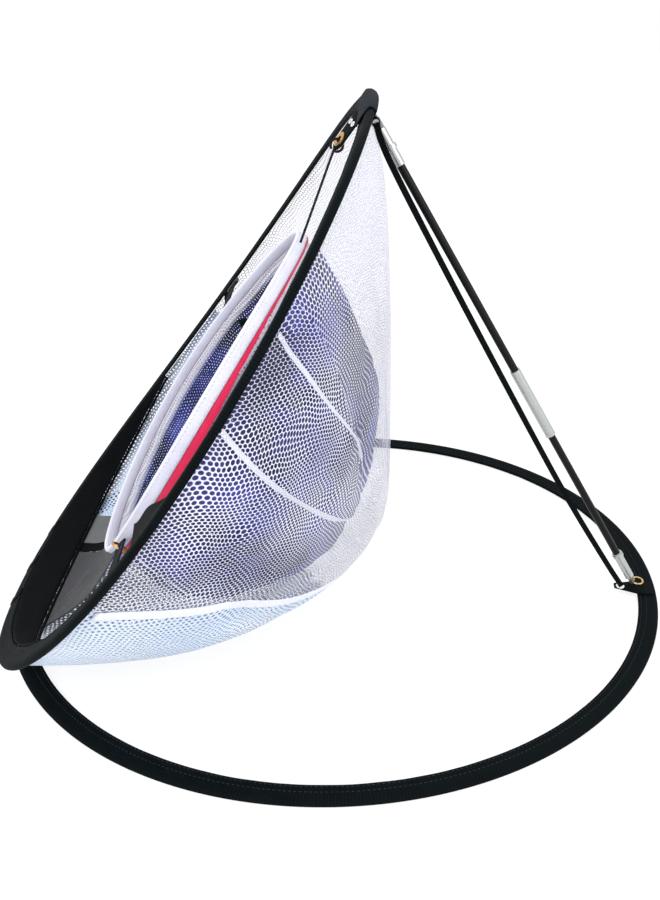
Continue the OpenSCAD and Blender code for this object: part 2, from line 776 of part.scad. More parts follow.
// Strap that holds the hoop from falling forward, beside the pole
strap_t = 1;
strap_top = pin_world + [loop_w / 2 + 1.8 + gap + strap_t / 2, 0, 0];
strap_foot = foot_world + [4, -10, base_t + tape_t + 2 * gap + tension_w / 4 - foot_z];
module tension_strap() {
    color("#121416") tape_between(strap_top, strap_foot, [0, 1, 0], tension_w, strap_t);
}

// Bore of the pole, cut through whatever the children draw
module bored(h, d) {
    difference() {
        children();
        translate([0, 0, -h - 1]) cylinder(d = d, h = h + 2);
    }
}

module top_ferrule() {
    color("silver") {
        difference() {
            union() {
                in_pole() translate([0, 0, -ferrule_top - end_len])
                    cylinder(d = ferrule_d, h = end_len);
                translate(pin_world) rotate([0, 90, 0]) cylinder(r = eye_r, h = eye_w, center = true);
                in_pole() translate([-eye_w / 2, -eye_r, -ferrule_top - 1])
                    cube([eye_w, 2 * eye_r, ferrule_top + 1]);
            }
            translate(pin_world) rotate([0, 90, 0])
                cylinder(d = pin_d + 2 * gap, h = 2 * eye_w, center = true);
            in_pole() translate([0, 0, -ferrule_top - end_len - 1])
                cylinder(d = pole_d + 0.02, h = end_len - 2);
        }
    }
}

collar_h = 3;
module top_collar() {
    color("#b8bcc0") in_pole() translate([0, 0, -ferrule_top - end_len / 2]) difference() {
        cylinder(d = ferrule_d + 2, h = collar_h, center = true);
        cylinder(d = ferrule_d + 0.02, h = 2 * collar_h, center = true);
    }
}

tube_top = ferrule_top + 4;
mid_top = upper_len - mid_len;
mid_stop = mid_top + mid_len - plug_len;
module pole_upper() {
    color("#141618") in_pole() difference() {
        translate([0, 0, -mid_stop]) cylinder(d = pole_d, h = mid_stop - tube_top);
        translate([0, 0, -mid_stop - 1]) cylinder(d = pole_bore, h = mid_stop + 2);
    }
}

module mid_ferrule() {
    color("silver") in_pole() translate([0, 0, -upper_len]) difference() {
        cylinder(d = ferrule_d + 0.6, h = mid_len);
        translate([0, 0, -1]) cylinder(d = pole_d + 2 * gap, h = plug_len + 1);
        translate([0, 0, plug_len - 0.5]) cylinder(d = pole_d + 0.02, h = mid_len);
    }
}

// Elastic cord through both tubes, with a knot at each end
module shock_cord() {
    color("#d8d8d0") in_pole() {
        translate([0, 0, -foot_len + 20]) cylinder(d = cord_d, h = foot_len - 20 - tube_top - 3);
        for (z = [-foot_len + 18, -tube_top - 4]) {
            translate([0, 0, z]) cylinder(d = pole_bore - 2 * gap, h = 3);
        }
    }
}

foot_len = pole_len - ring_eye_r - 3;
tip_len = 6;
module pole_lower() {
    top = mid_stop + gap;
    color("#141618") in_pole() difference() {
        translate([0, 0, -foot_len + 4]) cylinder(d = pole_d, h = foot_len - 4 - top);
        translate([0, 0, -foot_len + 16]) cylinder(d = pole_bore, h = foot_len);
    }
}

module end_ferrule() {
    color("silver") difference() {
        union() {
            in_pole() translate([0, 0, -foot_len]) cylinder(d = ferrule_d, h = end_len);
            in_foot() rotate([0, 90, 0]) cylinder(r = ring_eye_r, h = 2.4, center = true);
            in_pole() translate([-1.2, 0.3 - ring_eye_r, -pole_len])
                cube([2.4, 2 * ring_eye_r - 0.6, tip_len]);
        }
        in_foot() rotate([0, 90, 0])
            cylinder(d = ring_wire_d + 1, h = 8, center = true);
        in_pole() translate([0, 0, -foot_len + 4]) cylinder(d = pole_d + 0.02, h = end_len);
    }
}

module end_collar() {
    color("#b8bcc0") in_pole() translate([0, 0, -foot_len + end_len - 3]) difference() {
        cylinder(d = ferrule_d + 1.6, h = collar_h, center = true);
        cylinder(d = ferrule_d + 0.02, h = 2 * collar_h, center = true);
    }
}

// Split ring through the eye of the foot; it lies back over the anchor tab
module foot_ring() {
    color("#c9a24a") translate(foot_world + [0, foot_ring_r, 0])
        rotate_extrude() translate([foot_ring_r, 0]) circle(d = ring_wire_d, $fn = 16);
}

base_wire();
base_crimp();
base_sleeve();
anchor_tab();
anchor_eyelet();
hinge_tape_lower();
hinge_tape_upper();
hoop_wire();
hoop_crimp();
hoop_sleeve();
top_cap();
lip();
lip_binding();
outer_net();
ring_wire();
ring_sleeve();
ring_band();
inner_net();
top_tab();
top_grommet();
suspension_cord();
far_tab();
far_strap();
far_buckle();
far_tail();
near_strap();
near_tab();
near_link();
near_panel();
ring_tail();
bottom_panel();
bottom_hem();
bottom_net();
pole_loop();
pole_pin();
tension_strap();
top_ferrule();
top_collar();
pole_upper();
mid_ferrule();
shock_cord();
pole_lower();
end_ferrule();
end_collar();
foot_ring();
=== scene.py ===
"""Looks of a folding golf chipping net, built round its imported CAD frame."""

import logging
import math
from dataclasses import dataclass
from enum import Enum
from typing import Callable, Optional, Sequence, Union

import bmesh
import bpy
from mathutils import Matrix, Vector, noise


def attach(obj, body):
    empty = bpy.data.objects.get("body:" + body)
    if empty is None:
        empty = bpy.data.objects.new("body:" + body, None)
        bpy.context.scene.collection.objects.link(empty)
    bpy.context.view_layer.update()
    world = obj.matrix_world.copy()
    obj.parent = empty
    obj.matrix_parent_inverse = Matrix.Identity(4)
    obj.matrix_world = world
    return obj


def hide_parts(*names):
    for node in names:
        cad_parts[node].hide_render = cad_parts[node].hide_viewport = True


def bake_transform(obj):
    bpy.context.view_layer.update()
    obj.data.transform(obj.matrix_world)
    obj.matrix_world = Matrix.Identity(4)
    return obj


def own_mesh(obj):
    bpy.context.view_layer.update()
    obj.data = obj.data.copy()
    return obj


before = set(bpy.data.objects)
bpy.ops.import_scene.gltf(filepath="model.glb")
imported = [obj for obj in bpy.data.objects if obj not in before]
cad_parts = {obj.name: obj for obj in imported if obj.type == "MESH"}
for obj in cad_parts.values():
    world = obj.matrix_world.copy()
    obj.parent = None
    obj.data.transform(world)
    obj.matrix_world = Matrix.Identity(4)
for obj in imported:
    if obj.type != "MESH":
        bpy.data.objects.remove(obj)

log = logging.getLogger("chipping_net")
MM = 0.001
WHITE = (1.0, 1.0, 1.0, 1.0)
Colour = tuple[float, float, float]
Section = Sequence[tuple[float, float]]
Place = Callable[[float, float], Vector]
Spot = Callable[[float, float, float], Vector]
Line = Callable[[float], tuple[Vector, Vector]]
Piece = bpy.types.Object
Number = Union["Sig", float]


# ---------------------------------------------------------------- shader maths


def plug(value: object, socket: bpy.types.NodeSocket) -> None:
    """Links a value to a socket, or sets the socket to a plain number or colour.

    Args:
        value: Number, colour or shader value.
        socket: The socket that takes it.
    """
    if isinstance(value, Sig):
        value.tree.links.new(value.socket, socket)
    else:
        socket.default_value = value


class Sig:
    """A shader socket that takes part in Python arithmetic."""

    def __init__(self, tree: bpy.types.NodeTree, socket: bpy.types.NodeSocket) -> None:
        """Wraps a socket.

        Args:
            tree: The node tree that new nodes go into.
            socket: The output socket that carries the value.
        """
        self.tree = tree
        self.socket = socket

    def math(self, operation: str, *others: Number) -> "Sig":
        """Adds one Math node.

        Args:
            operation: The Math node's operation.
            others: Its second and third operands.

        Returns:
            The node's value.
        """
        made = self.tree.nodes.new("ShaderNodeMath")
        made.operation = operation
        for place, value in enumerate((self, *others)):
            plug(value, made.inputs[place])
        return Sig(self.tree, made.outputs[0])

    def __add__(self, other: Number) -> "Sig":
        """Sum."""
        return self.math("ADD", other)

    __radd__ = __add__

    def __mul__(self, other: Number) -> "Sig":
        """Product."""
        return self.math("MULTIPLY", other)

    __rmul__ = __mul__

    def __sub__(self, other: Number) -> "Sig":
        """Difference."""
        return self.math("SUBTRACT", other)

    def __rsub__(self, other: float) -> "Sig":
        """Difference from a number."""
        return (self * -1.0) + other

    def __truediv__(self, other: Number) -> "Sig":
        """Quotient."""
        return self.math("DIVIDE", other)

    def fract(self) -> "Sig":
        """Part after the point."""
        return self.math("FRACT")

    def ribs(self, spacing: float) -> "Sig":
        """Sine wave with this spacing, from 0 to 1."""
        return (self * (math.tau / spacing)).math("SINE") * 0.5 + 0.5

    def least(self, other: Number) -> "Sig":
        """The smaller of two."""
        return self.math("MINIMUM", other)

    def length(self, other: "Sig") -> "Sig":
        """Length of the vector made of the two."""
        return (self * self + other * other).math("SQRT")

    def step(self, low: float, high: float) -> "Sig":
        """Smooth rise from 0 at low to 1 at high.

        Args:
            low: Where the rise begins.
            high: Where it ends.

        Returns:
            A value from 0 to 1.
        """
        made = self.tree.nodes.new("ShaderNodeMapRange")
        made.interpolation_type = "SMOOTHSTEP"
        self.tree.links.new(self.socket, made.inputs["Value"])
        made.inputs["From Min"].default_value = low
        made.inputs["From Max"].default_value = high
        return Sig(self.tree, made.outputs["Result"])


class Graph:
    """The node tree of a material or a world."""

    def __init__(self, owner: Union[bpy.types.Material, bpy.types.World]) -> None:
        """Takes the tree of its owner."""
        owner.use_nodes = True
        self.tree = owner.node_tree

    def node(self, kind: str, settings: Optional[dict] = None, **values: object) -> bpy.types.Node:
        """Adds any node.

        Args:
            kind: The node's type.
            settings: Its own settings, set first.
            values: Numbers, colours or links of its sockets, with spaces as underscores.

        Returns:
            The node.
        """
        made = self.tree.nodes.new(kind)
        for key, value in (settings or {}).items():
            setattr(made, key, value)
        for key, value in values.items():
            plug(value, made.inputs[key.replace("_", " ")])
        return made

    def out(self, node: bpy.types.Node, name: Union[str, int] = 0) -> Sig:
        """One of a node's outputs."""
        return Sig(self.tree, node.outputs[name])


class Surface(Graph):
    """One procedural material with a single principled shader."""

    def __init__(self, name: str, **fixed: float) -> None:
        """Starts a material.

        Args:
            name: The material's name.
            fixed: Sockets of the shader that are the same all over.
        """
        self.material = bpy.data.materials.new(f"{name}_look")
        super().__init__(self.material)
        self.shader = self.tree.nodes["Principled BSDF"]
        self.feed(**fixed)

    def feed(self, **sockets: Number) -> None:
        """Gives the shader's sockets their values, with spaces in names as underscores."""
        for key, value in sockets.items():
            plug(value, self.shader.inputs[key.replace("_", " ")])

    def weave_axes(self) -> tuple[Sig, Sig]:
        """The piece's own UV map, in metres across and along the cloth.

        Returns:
            Both values.
        """
        uv = self.node("ShaderNodeUVMap", {"uv_map": "UVMap"})
        parts = self.node("ShaderNodeSeparateXYZ", Vector=self.out(uv, "UV"))
        return self.out(parts, "X"), self.out(parts, "Y")

    def cloud(self, scale: float, detail: float = 3.0, stretch: Colour = (1.0, 1.0, 1.0)) -> Sig:
        """Noise in the object's own space, about 0.3 to 0.7.

        Args:
            scale: How fine it is.
            detail: How many finer layers it has.
            stretch: Scale along the axes.

        Returns:
            The noise.
        """
        where = self.out(self.node("ShaderNodeTexCoord"), "Object")
        mapped = self.out(self.node("ShaderNodeMapping", Vector=where, Scale=stretch), "Vector")
        return self.out(
            self.node("ShaderNodeTexNoise", Vector=mapped, Scale=scale, Detail=detail)
        )

    def blend(self, factor: Sig, first: Colour, second: Union[Colour, Sig]) -> Sig:
        """Mixes two colours.

        Args:
            factor: Share of the second one.
            first: Colour at 0.
            second: Colour at 1, or a colour socket.

        Returns:
            The mixed colour.
        """
        made = self.node("ShaderNodeMix", {"data_type": "RGBA"})
        plug(factor, made.inputs[0])
        for socket, value in ((made.inputs[6], first), (made.inputs[7], second)):
            plug(value if isinstance(value, Sig) else (*value, 1.0), socket)
        return self.out(made, 2)

    def finished(
        self, colour: Sig, rough: Sig, height: Sig, depth: float, strength: float, **more: Sig
    ) -> bpy.types.Material:
        """Feeds the shader.

        Args:
            colour: The base colour.
            rough: The roughness.
            height: Height of the relief, from 0 to 1.
            depth: The relief's depth in metres.
            strength: How strongly the relief shows.
            more: Other sockets.

        Returns:
            The material.
        """
        bump = self.node("ShaderNodeBump", Height=height, Distance=depth, Strength=strength)
        self.feed(Base_Color=colour, Roughness=rough, Normal=self.out(bump, "Normal"), **more)
        return self.material


# ------------------------------------------------------------------- finishes


@dataclass(frozen=True)
class WovenTape:
    """Ribbed woven tape, with its ribs across its length."""

    name: str
    dark: Colour
    light: Colour
    rib: float = 0.0011
    roughness: float = 0.72
    sheen: float = 0.0
    gloss: float = 0.05
    relief: float = 0.00016

    def material(self) -> bpy.types.Material:
        """Builds the material.

        Returns:
            The material.
        """
        look = Surface(
            self.name, Sheen_Weight=self.sheen, Sheen_Roughness=0.5, Specular_IOR_Level=self.gloss
        )
        across, along = look.weave_axes()
        thread = along.ribs(self.rib) * 0.65 + across.ribs(self.rib * 0.8) * 0.35
        worn = look.cloud(46.0, 4.0)
        colour = look.blend(thread * 0.55 + worn * 0.6 - 0.1, self.dark, self.light)
        rough = worn * 0.25 + (self.roughness - 0.12)
        return look.finished(colour, rough, thread, self.relief, 0.75)


@dataclass(frozen=True)
class KnittedNet:
    """Open knitted net with round holes in staggered rows, painted with shade in noise patches for
    its folds and round each hole's edge.
    """

    name: str
    strand: Colour
    # The second colour is painted shade: noise patches pull the yarn towards it, standing in for
    # shade in the folds.
    painted_fold_shade: Colour
    pitch: float
    hole: float
    patch: float = 18.0
    roughness: float = 0.62
    bias: float = 0.0
    uneven: float = 0.12
    # The edge colour is painted shade: the thread darkens towards each hole, standing in for shade
    # on its rounded sides.
    edge: Colour = (0.45, 0.48, 0.72)
    border: float = 0.0
    hem: Colour = (0.85, 0.85, 0.93)
    hem_fade: float = 0.006
    warp: float = 0.028
    stitch: float = 0.31
    rim: float = 0.03
    relief: float = 0.0004

    def material(self) -> bpy.types.Material:
        """Builds the material.

        Returns:
            The material.
        """
        look = Surface(self.name, Sheen_Weight=0.15)
        across, along = look.weave_axes()
        row = math.sqrt(3.0)
        x = (across + (look.cloud(17.0, 2.0) - 0.5) * self.warp) / self.pitch
        y = along + (look.cloud(13.0, 2.0, (1.0, 1.25, 0.8)) - 0.5) * self.warp
        y = y / (self.pitch * row)
        first = (x.fract() - 0.5).length((y.fract() - 0.5) * row)
        second = ((x + 0.5).fract() - 0.5).length(((y + 0.5).fract() - 0.5) * row)
        reach = first.least(second)
        fold_shade_noise = look.cloud(self.patch, 3.0)
        knit = (across + along).ribs(self.pitch * self.stitch)
        patchy = reach + (look.cloud(self.patch * 1.7, 2.0) - 0.5) * self.uneven
        # Painted shade: noise patches darken the yarn towards the second colour, as shade in the
        # folds would.
        yarn = look.blend(
            (fold_shade_noise - 0.5) * 3.2 + (0.5 + self.bias) + knit * 0.18, self.painted_fold_shade, self.strand
        )
        # Painted shade: the thread darkens towards each hole's edge.
        yarn = look.blend(patchy.step(self.hole - 0.02, self.hole + 0.14), self.edge, yarn)
        if self.border:
            inside = along.step(self.border, self.border + self.hem_fade)
            yarn = look.blend(inside, self.hem, yarn)
        rough = fold_shade_noise * 0.2 + (self.roughness - 0.1)
        height = reach.step(self.hole, 0.56) + knit * 0.25
        cut = patchy.step(self.hole - self.rim, self.hole + self.rim)
        return look.finished(yarn, rough, height, self.relief, 0.8, Alpha=cut)


@dataclass(frozen=True)
class PlainCloth:
    """Close plain cloth with fine threads and soft creases, whose shade is painted into the colour.
    """

    name: str
    dark: Colour
    light: Colour
    thread: float = 0.0009
    roughness: float = 0.8
    crease: float = 0.0006

    def material(self) -> bpy.types.Material:
        """Builds the material.

        Returns:
            The material.
        """
        look = Surface(self.name, Specular_IOR_Level=0.06)
        across, along = look.weave_axes()
        weave = across.ribs(self.thread) * along.ribs(self.thread)
        creases = look.cloud(30.0, 3.0, (1.0, 1.0, 0.5))
        # Painted shade: the colour darkens where the crease relief is low, standing in for shade in
        # the creases.
        colour = look.blend(weave * 0.6 + creases * 0.6, self.dark, self.light)
        rough = creases * 0.2 + (self.roughness - 0.1)
        return look.finished(colour, rough, creases * 0.8 + weave * 0.2, self.crease, 0.7)


@dataclass(frozen=True)
class BareMetal:
    """Turned or drawn metal with fine lines and small scratches."""

    name: str
    colour: Colour
    tarnish: Colour
    roughness: float = 0.28
    relief: float = 0.00004

    def material(self) -> bpy.types.Material:
        """Builds the material.

        Returns:
            The material.
        """
        look = Surface(self.name, Metallic=1.0)
        lines = look.cloud(900.0, 2.0, (1.0, 1.0, 0.12))
        stain = look.cloud(1500.0, 3.0, (1.0, 0.8, 0.5))
        colour = look.blend(stain.step(0.5, 0.85) * 0.5, self.colour, self.tarnish)
        rough = lines * 0.22 + (self.roughness - 0.08)
        return look.finished(colour, rough, lines, self.relief, 0.4)


@dataclass(frozen=True)
class Lacquer:
    """Smooth lacquer or moulded plastic with a slight orange peel."""

    name: str
    colour: Colour
    scuff: Colour
    roughness: float = 0.3
    coat: float = 0.4
    relief: float = 0.00005

    def material(self) -> bpy.types.Material:
        """Builds the material.

        Returns:
            The material.
        """
        look = Surface(
            self.name, Coat_Weight=self.coat, Coat_Roughness=0.2, Specular_IOR_Level=0.2
        )
        peel = look.cloud(420.0, 2.0)
        rub = look.cloud(60.0, 5.0, (1.0, 1.0, 0.3))
        colour = look.blend(rub.step(0.55, 0.8), self.colour, self.scuff)
        rough = rub * 0.2 + (self.roughness - 0.1)
        return look.finished(colour, rough, peel, self.relief, 0.4)


class Finish(Enum):
    """Every finish on the net, most of them named after the record's slots."""

    webbing = WovenTape("webbing", (0.0003, 0.0008, 0.001), (0.004, 0.008, 0.0095), 0.0022)
    strap = WovenTape("strap", (0.0003, 0.0007, 0.0009), (0.004, 0.007, 0.008), 0.0012, 0.65)
    binding = WovenTape("binding", (0.0004, 0.0007, 0.0009), (0.004, 0.006, 0.007), 0.001)
    cap_fabric = PlainCloth("cap_fabric", (0.006, 0.008, 0.011), (0.022, 0.028, 0.036))
    lip_fabric = PlainCloth("lip_fabric", (0.001, 0.0012, 0.0016), (0.007, 0.008, 0.01))
    white_eyelet = Lacquer("white_eyelet", (0.8, 0.82, 0.84), (0.6, 0.62, 0.64), 0.3, 0.5)
    # In each net the second colour and the edge colour are painted shade.
    pale_net = KnittedNet(
        "pale_net", (0.97, 0.97, 0.99), (0.9, 0.9, 0.99), 0.0030, 0.4, 9.0, uneven=0.2
    )
    low_net = KnittedNet(
        "low_net", (0.78, 0.87, 0.97), (0.55, 0.7, 0.94), 0.0038, 0.22, 12.0, edge=(0.1, 0.16, 0.36)
    )
    blue_net = KnittedNet(
        "blue_net", (0.06, 0.065, 0.42), (0.001, 0.0015, 0.035), 0.0030, 0.16, 22.0, 0.7, -0.25,
        edge=(0.01, 0.012, 0.12), border=0.003,
    )
    dark_net = KnittedNet(
        "dark_net", (0.012, 0.014, 0.023), (0.004, 0.005, 0.009), 0.0018, 0.17,
        edge=(0.01, 0.01, 0.02),
    )
    grey_panel = PlainCloth("grey_panel", (0.1, 0.105, 0.11), (0.2, 0.21, 0.215))
    white_tape = WovenTape("white_tape", (0.6, 0.6, 0.76), (0.86, 0.86, 0.93), 0.0013, 0.7, 0.2)
    red_tape = WovenTape("red_tape", (0.5, 0.008, 0.045), (0.82, 0.035, 0.12), 0.0016, 0.6, 0.3)
    seam_tape = WovenTape("seam_tape", (0.7, 0.72, 0.86), (0.9, 0.91, 0.95), 0.0012, 0.7, 0.2)
    black_thread = WovenTape("black_thread", (0.02, 0.022, 0.026), (0.06, 0.065, 0.075), 0.0004)
    white_thread = WovenTape("white_thread", (0.6, 0.6, 0.66), (0.85, 0.85, 0.88), 0.0004)
    blue_thread = WovenTape("blue_thread", (0.03, 0.06, 0.4), (0.08, 0.14, 0.62), 0.0004)
    black_cord = WovenTape("black_cord", (0.005, 0.005, 0.006), (0.03, 0.03, 0.034), 0.0008)
    elastic_cord = WovenTape("elastic_cord", (0.55, 0.55, 0.5), (0.8, 0.8, 0.76), 0.0009)
    brass = BareMetal("brass", (0.6, 0.36, 0.11), (0.2, 0.1, 0.03), 0.3)
    ring_brass = BareMetal("ring_brass", (0.55, 0.38, 0.16), (0.2, 0.13, 0.05), 0.28)
    ferrule_metal = BareMetal("ferrule_metal", (0.5, 0.52, 0.51), (0.1, 0.11, 0.11), 0.34)
    spring_wire = BareMetal("spring_wire", (0.5, 0.51, 0.53), (0.25, 0.25, 0.25), 0.3)
    zinc = BareMetal("zinc", (0.5, 0.51, 0.53), (0.3, 0.3, 0.3), 0.45)
    pole_tube = Lacquer("pole_tube", (0.0005, 0.0009, 0.0011), (0.005, 0.007, 0.008), 0.42, 0.02)
    buckle_plastic = Lacquer("buckle_plastic", (0.015, 0.016, 0.018), (0.05, 0.05, 0.055), 0.4, 0.1)

    def made(self) -> bpy.types.Material:
        """The finish's material, built once."""
        return bpy.data.materials.get(f"{self.value.name}_look") or self.value.material()


# --------------------------------------------------------------------- layout


@dataclass(frozen=True)
class Layout:
    """The net's sizes in millimetres and the places that follow from them."""

    base_half: tuple[float, float] = (242.0, 278.0)
    hoop_half: tuple[float, float] = (246.0, 251.0)
    tilt: float = math.radians(52.4)
    bow: float = 7.8
    hoop_t: float = 5.0
    sleeve_w: float = 16.0
    base_t: float = 4.4
    gap: float = 0.3
    ring_r: float = 145.0
    ring_back: float = 10.0
    ring_drop: float = 6.0
    ring_bow: float = 4.5
    ring_twist: float = 28.0
    ring_lean: float = math.radians(2.5)
    strip_h: float = 9.0
    band_h: float = 10.0
    outer_depth: float = 192.0
    outer_fall: float = 1.32
    outer_lift: float = 0.64
    outer_tail: float = 95.0
    shoulder: float = 15.0
    shoulder_run: float = 26.0
    inner_depth: float = 146.0
    inner_fall: float = 0.4
    inner_sag: float = 16.0
    mouth_inset: float = 6.0
    lip_depth: float = 25.0
    lip_end: float = 2.5
    lip_inset: float = 26.5
    lip_reach: float = 60.0
    foot: tuple[float, float, float] = (31.0, 254.966, 9.6)
    pin: tuple[float, float, float] = (0.0, 32.704, 385.968)

    @property
    def centre(self) -> tuple[float, float]:
        """Y and Z of the target hoop's centre.

        Returns:
            Both, in millimetres.
        """
        half = self.hoop_half[1]
        y = 4.0 - self.base_half[1] + half * math.cos(self.tilt) + self.bow * math.sin(self.tilt)
        z = self.base_t + self.gap + half * math.sin(self.tilt)
        return y, z - (self.bow - self.hoop_t / 2) * math.cos(self.tilt)

    def leaning(self, x: float, s: float, n: float) -> Vector:
        """A point given across, up the slope and out of the target hoop's plane.

        Args:
            x: Distance across, in millimetres.
            s: Distance up the slope from the centre.
            n: Distance out of the plane.

        Returns:
            The point, in metres.
        """
        y, z = self.centre
        c, d = math.cos(self.tilt), math.sin(self.tilt)
        return Vector((x, y + s * c - n * d, z + s * d + n * c)) * MM

    def way(self, x: float, s: float, n: float) -> Vector:
        """A direction given across, up the slope and out of the target hoop's plane."""
        return self.leaning(x, s, n) - self.leaning(0, 0, 0)

    def slope(self, point: Vector) -> tuple[float, float]:
        """How far a point in millimetres lies up the slope and out of the hoop's plane.

        Args:
            point: The point.

        Returns:
            Both distances, in millimetres.
        """
        y, z = point[1] - self.centre[0], point[2] - self.centre[1]
        c, d = math.cos(self.tilt), math.sin(self.tilt)
        return y * c + z * d, z * c - y * d

    def rim(self, angle: float, inset: float, rise: float) -> Vector:
        """A point on the target hoop.

        Args:
            angle: Degrees from +X.
            inset: Distance in from the outer edge, in millimetres.
            rise: Distance out of the bowed wire's surface.

        Returns:
            The point, in metres.
        """
        a = math.radians(angle)
        return self.leaning(
            (self.hoop_half[0] - inset) * math.cos(a),
            (self.hoop_half[1] - inset) * math.sin(a),
            rise - self.bow * math.cos(2 * a),
        )

    def oval(self, angle: float, inset: float, z: float) -> Vector:
        """A point on the base hoop.

        Args:
            angle: Degrees from +X.
            inset: Distance in from the outer edge, in millimetres.
            z: Height above the floor.

        Returns:
            The point, in metres.
        """
        a = math.radians(angle)
        x, y = self.base_half[0] - inset, self.base_half[1] - inset
        return Vector((x * math.cos(a), y * math.sin(a), z)) * MM

    def ringed(self, x: float, s: float, n: float) -> Vector:
        """A point in the inner ring's own frame."""
        c, d = math.cos(self.ring_lean), math.sin(self.ring_lean)
        return self.leaning(x, s * c - n * d - self.ring_drop, s * d + n * c - self.ring_back)

    def ring_rise(self, angle: float) -> float:
        """How far the sprung ring bends out of its plane at an angle in degrees."""
        return self.ring_bow * math.cos(math.radians(2 * (angle - self.ring_twist)))

    def on_ring(self, angle: float, radius: float, back: float) -> Vector:
        """A point on the inner ring.

        Args:
            angle: Degrees from +X.
            radius: Distance from its centre, in millimetres.
            back: Distance behind the ring's front.

        Returns:
            The point, in metres.
        """
        a = math.radians(angle)
        rise = self.ring_rise(angle) - back
        return self.ringed(radius * math.cos(a), radius * math.sin(a), rise)

    def outer(self, u: float, angle: float, out: float = 0.0) -> Vector:
        """A point of the outer bag.

        Args:
            u: From 0 at the mouth to 1 at the tail.
            angle: Degrees from +X.
            out: How far it stands off the bag, in millimetres.

        Returns:
            The point, in metres.
        """
        a = math.radians(angle)
        d = self.outer_depth * math.sin(math.pi / 2 * u)
        v = d / self.outer_depth
        half_b = self.hoop_half[1]
        drawn = (14 + self.sleeve_w) * math.exp(-d / self.shoulder_run)
        top = half_b + self.shoulder - self.outer_fall * d - drawn - 12 * u**8
        low = self.mouth_inset - half_b + self.outer_lift * d + self.outer_tail * v**4
        wide = (self.hoop_half[0] - self.mouth_inset) * math.sqrt(max(0.0, 1 - 0.992 * v**1.25))
        e = 1 - 0.1 * math.sin(math.pi * u)
        cos_e = math.copysign(abs(math.cos(a)) ** e, math.cos(a))
        sin_e = math.copysign(abs(math.sin(a)) ** e, math.sin(a))
        n = -d - self.hoop_t / 2 - self.gap - self.bow * math.cos(2 * a) * (1 - u)
        return self.leaning(
            (wide + out) * cos_e, (top + low) / 2 + ((top - low) / 2 + out) * sin_e, n
        )

    def inner(self, u: float, angle: float, out: float = 0.0) -> Vector:
        """A point of the inner bag.

        Args:
            u: From 0 at the mouth to 1 at the tail.
            angle: Degrees from +X.
            out: How far it stands off the bag, in millimetres.

        Returns:
            The point, in metres.
        """
        a = math.radians(angle)
        d = self.inner_depth * math.sin(math.pi / 2 * u)
        v = d / self.inner_depth
        hang = self.ring_r - 2.0
        top = hang - self.inner_fall * d - 90 * v**4
        low = -hang - self.inner_sag * math.sin(math.pi * v) + 92 * v**2.5
        wide = hang * math.sqrt(max(0.0, 1 - 0.985 * v**2.6)) * (1 + 0.05 * math.sin(math.pi * v))
        back = self.strip_h + self.band_h + 2 * self.gap
        return self.ringed(
            (wide + out) * math.cos(a),
            (top + low) / 2 + ((top - low) / 2 + out) * math.sin(a),
            self.ring_rise(angle) * math.cos(math.pi / 2 * u) ** 2 - d - back,
        )

    def lip(self, b: float, t: float) -> Vector:
        """A point of the lip.

        Args:
            b: Degrees round from the bottom.
            t: From 0 at its seam to 1 at its free edge.

        Returns:
            The point, in metres.
        """
        side = self.sleeve_w + self.gap + 0.6
        seam = self.rim(270 + b, side, 0.0)
        deep = math.cos(math.radians(min(2 * abs(b), 90.0))) ** 2
        drop = math.cos(math.radians(b * 90 / self.lip_reach))
        edge = self.rim(
            270 + b,
            side + 1.5 + (self.lip_inset - side - 1.5) * deep,
            -self.lip_end - (self.lip_depth - self.lip_end) * drop,
        )
        return seam.lerp(edge, t)


NET = Layout()


# ------------------------------------------------------------------ mesh work


def placed(name: str, data: bpy.types.ID) -> Piece:
    """Makes an object of a mesh, a lamp or a camera and links it to the scene.

    Args:
        name: The object's name.
        data: What it shows.

    Returns:
        The object.
    """
    made = bpy.data.objects.new(name, data)
    bpy.context.scene.collection.objects.link(made)
    return made


def solid(name: str, bm: bmesh.types.BMesh) -> Piece:
    """Turns a finished bmesh into a smooth object at the origin.

    Args:
        name: The object's name.
        bm: The mesh, which is freed.

    Returns:
        The object.
    """
    for face in bm.faces:
        face.smooth = True
    data = bpy.data.meshes.new(name)
    bm.to_mesh(data)
    bm.free()
    return placed(name, data)


def loft(
    columns: int, rows: int, place: Place, chart: Callable, closed: bool = False
) -> bmesh.types.BMesh:
    """Bends a grid into a curved sheet or tube.

    Args:
        columns: Faces round or across.
        rows: Faces along.
        place: Gives the point for two values from 0 to 1.
        chart: Gives the UV in metres from the same two values and the face's middle across.
        closed: Whether the first and last columns or rows meet.

    Returns:
        The mesh, its normals made to agree.
    """
    bm = bmesh.new()
    layer = bm.loops.layers.uv.new("UVMap")
    bmesh.ops.create_grid(bm, x_segments=columns, y_segments=rows, size=0.5, calc_uvs=False)
    for face in bm.faces:
        middle = face.calc_center_median()
        for loop in face.loops:
            u, v = loop.vert.co.x + 0.5, loop.vert.co.y + 0.5
            loop[layer].uv = chart(u, v, middle.x + 0.5)
    for vert in bm.verts:
        vert.co = place(vert.co.x + 0.5, vert.co.y + 0.5)
    if closed:
        bmesh.ops.remove_doubles(bm, verts=bm.verts, dist=2e-6)
    bmesh.ops.recalc_face_normals(bm, faces=bm.faces)
    return bm


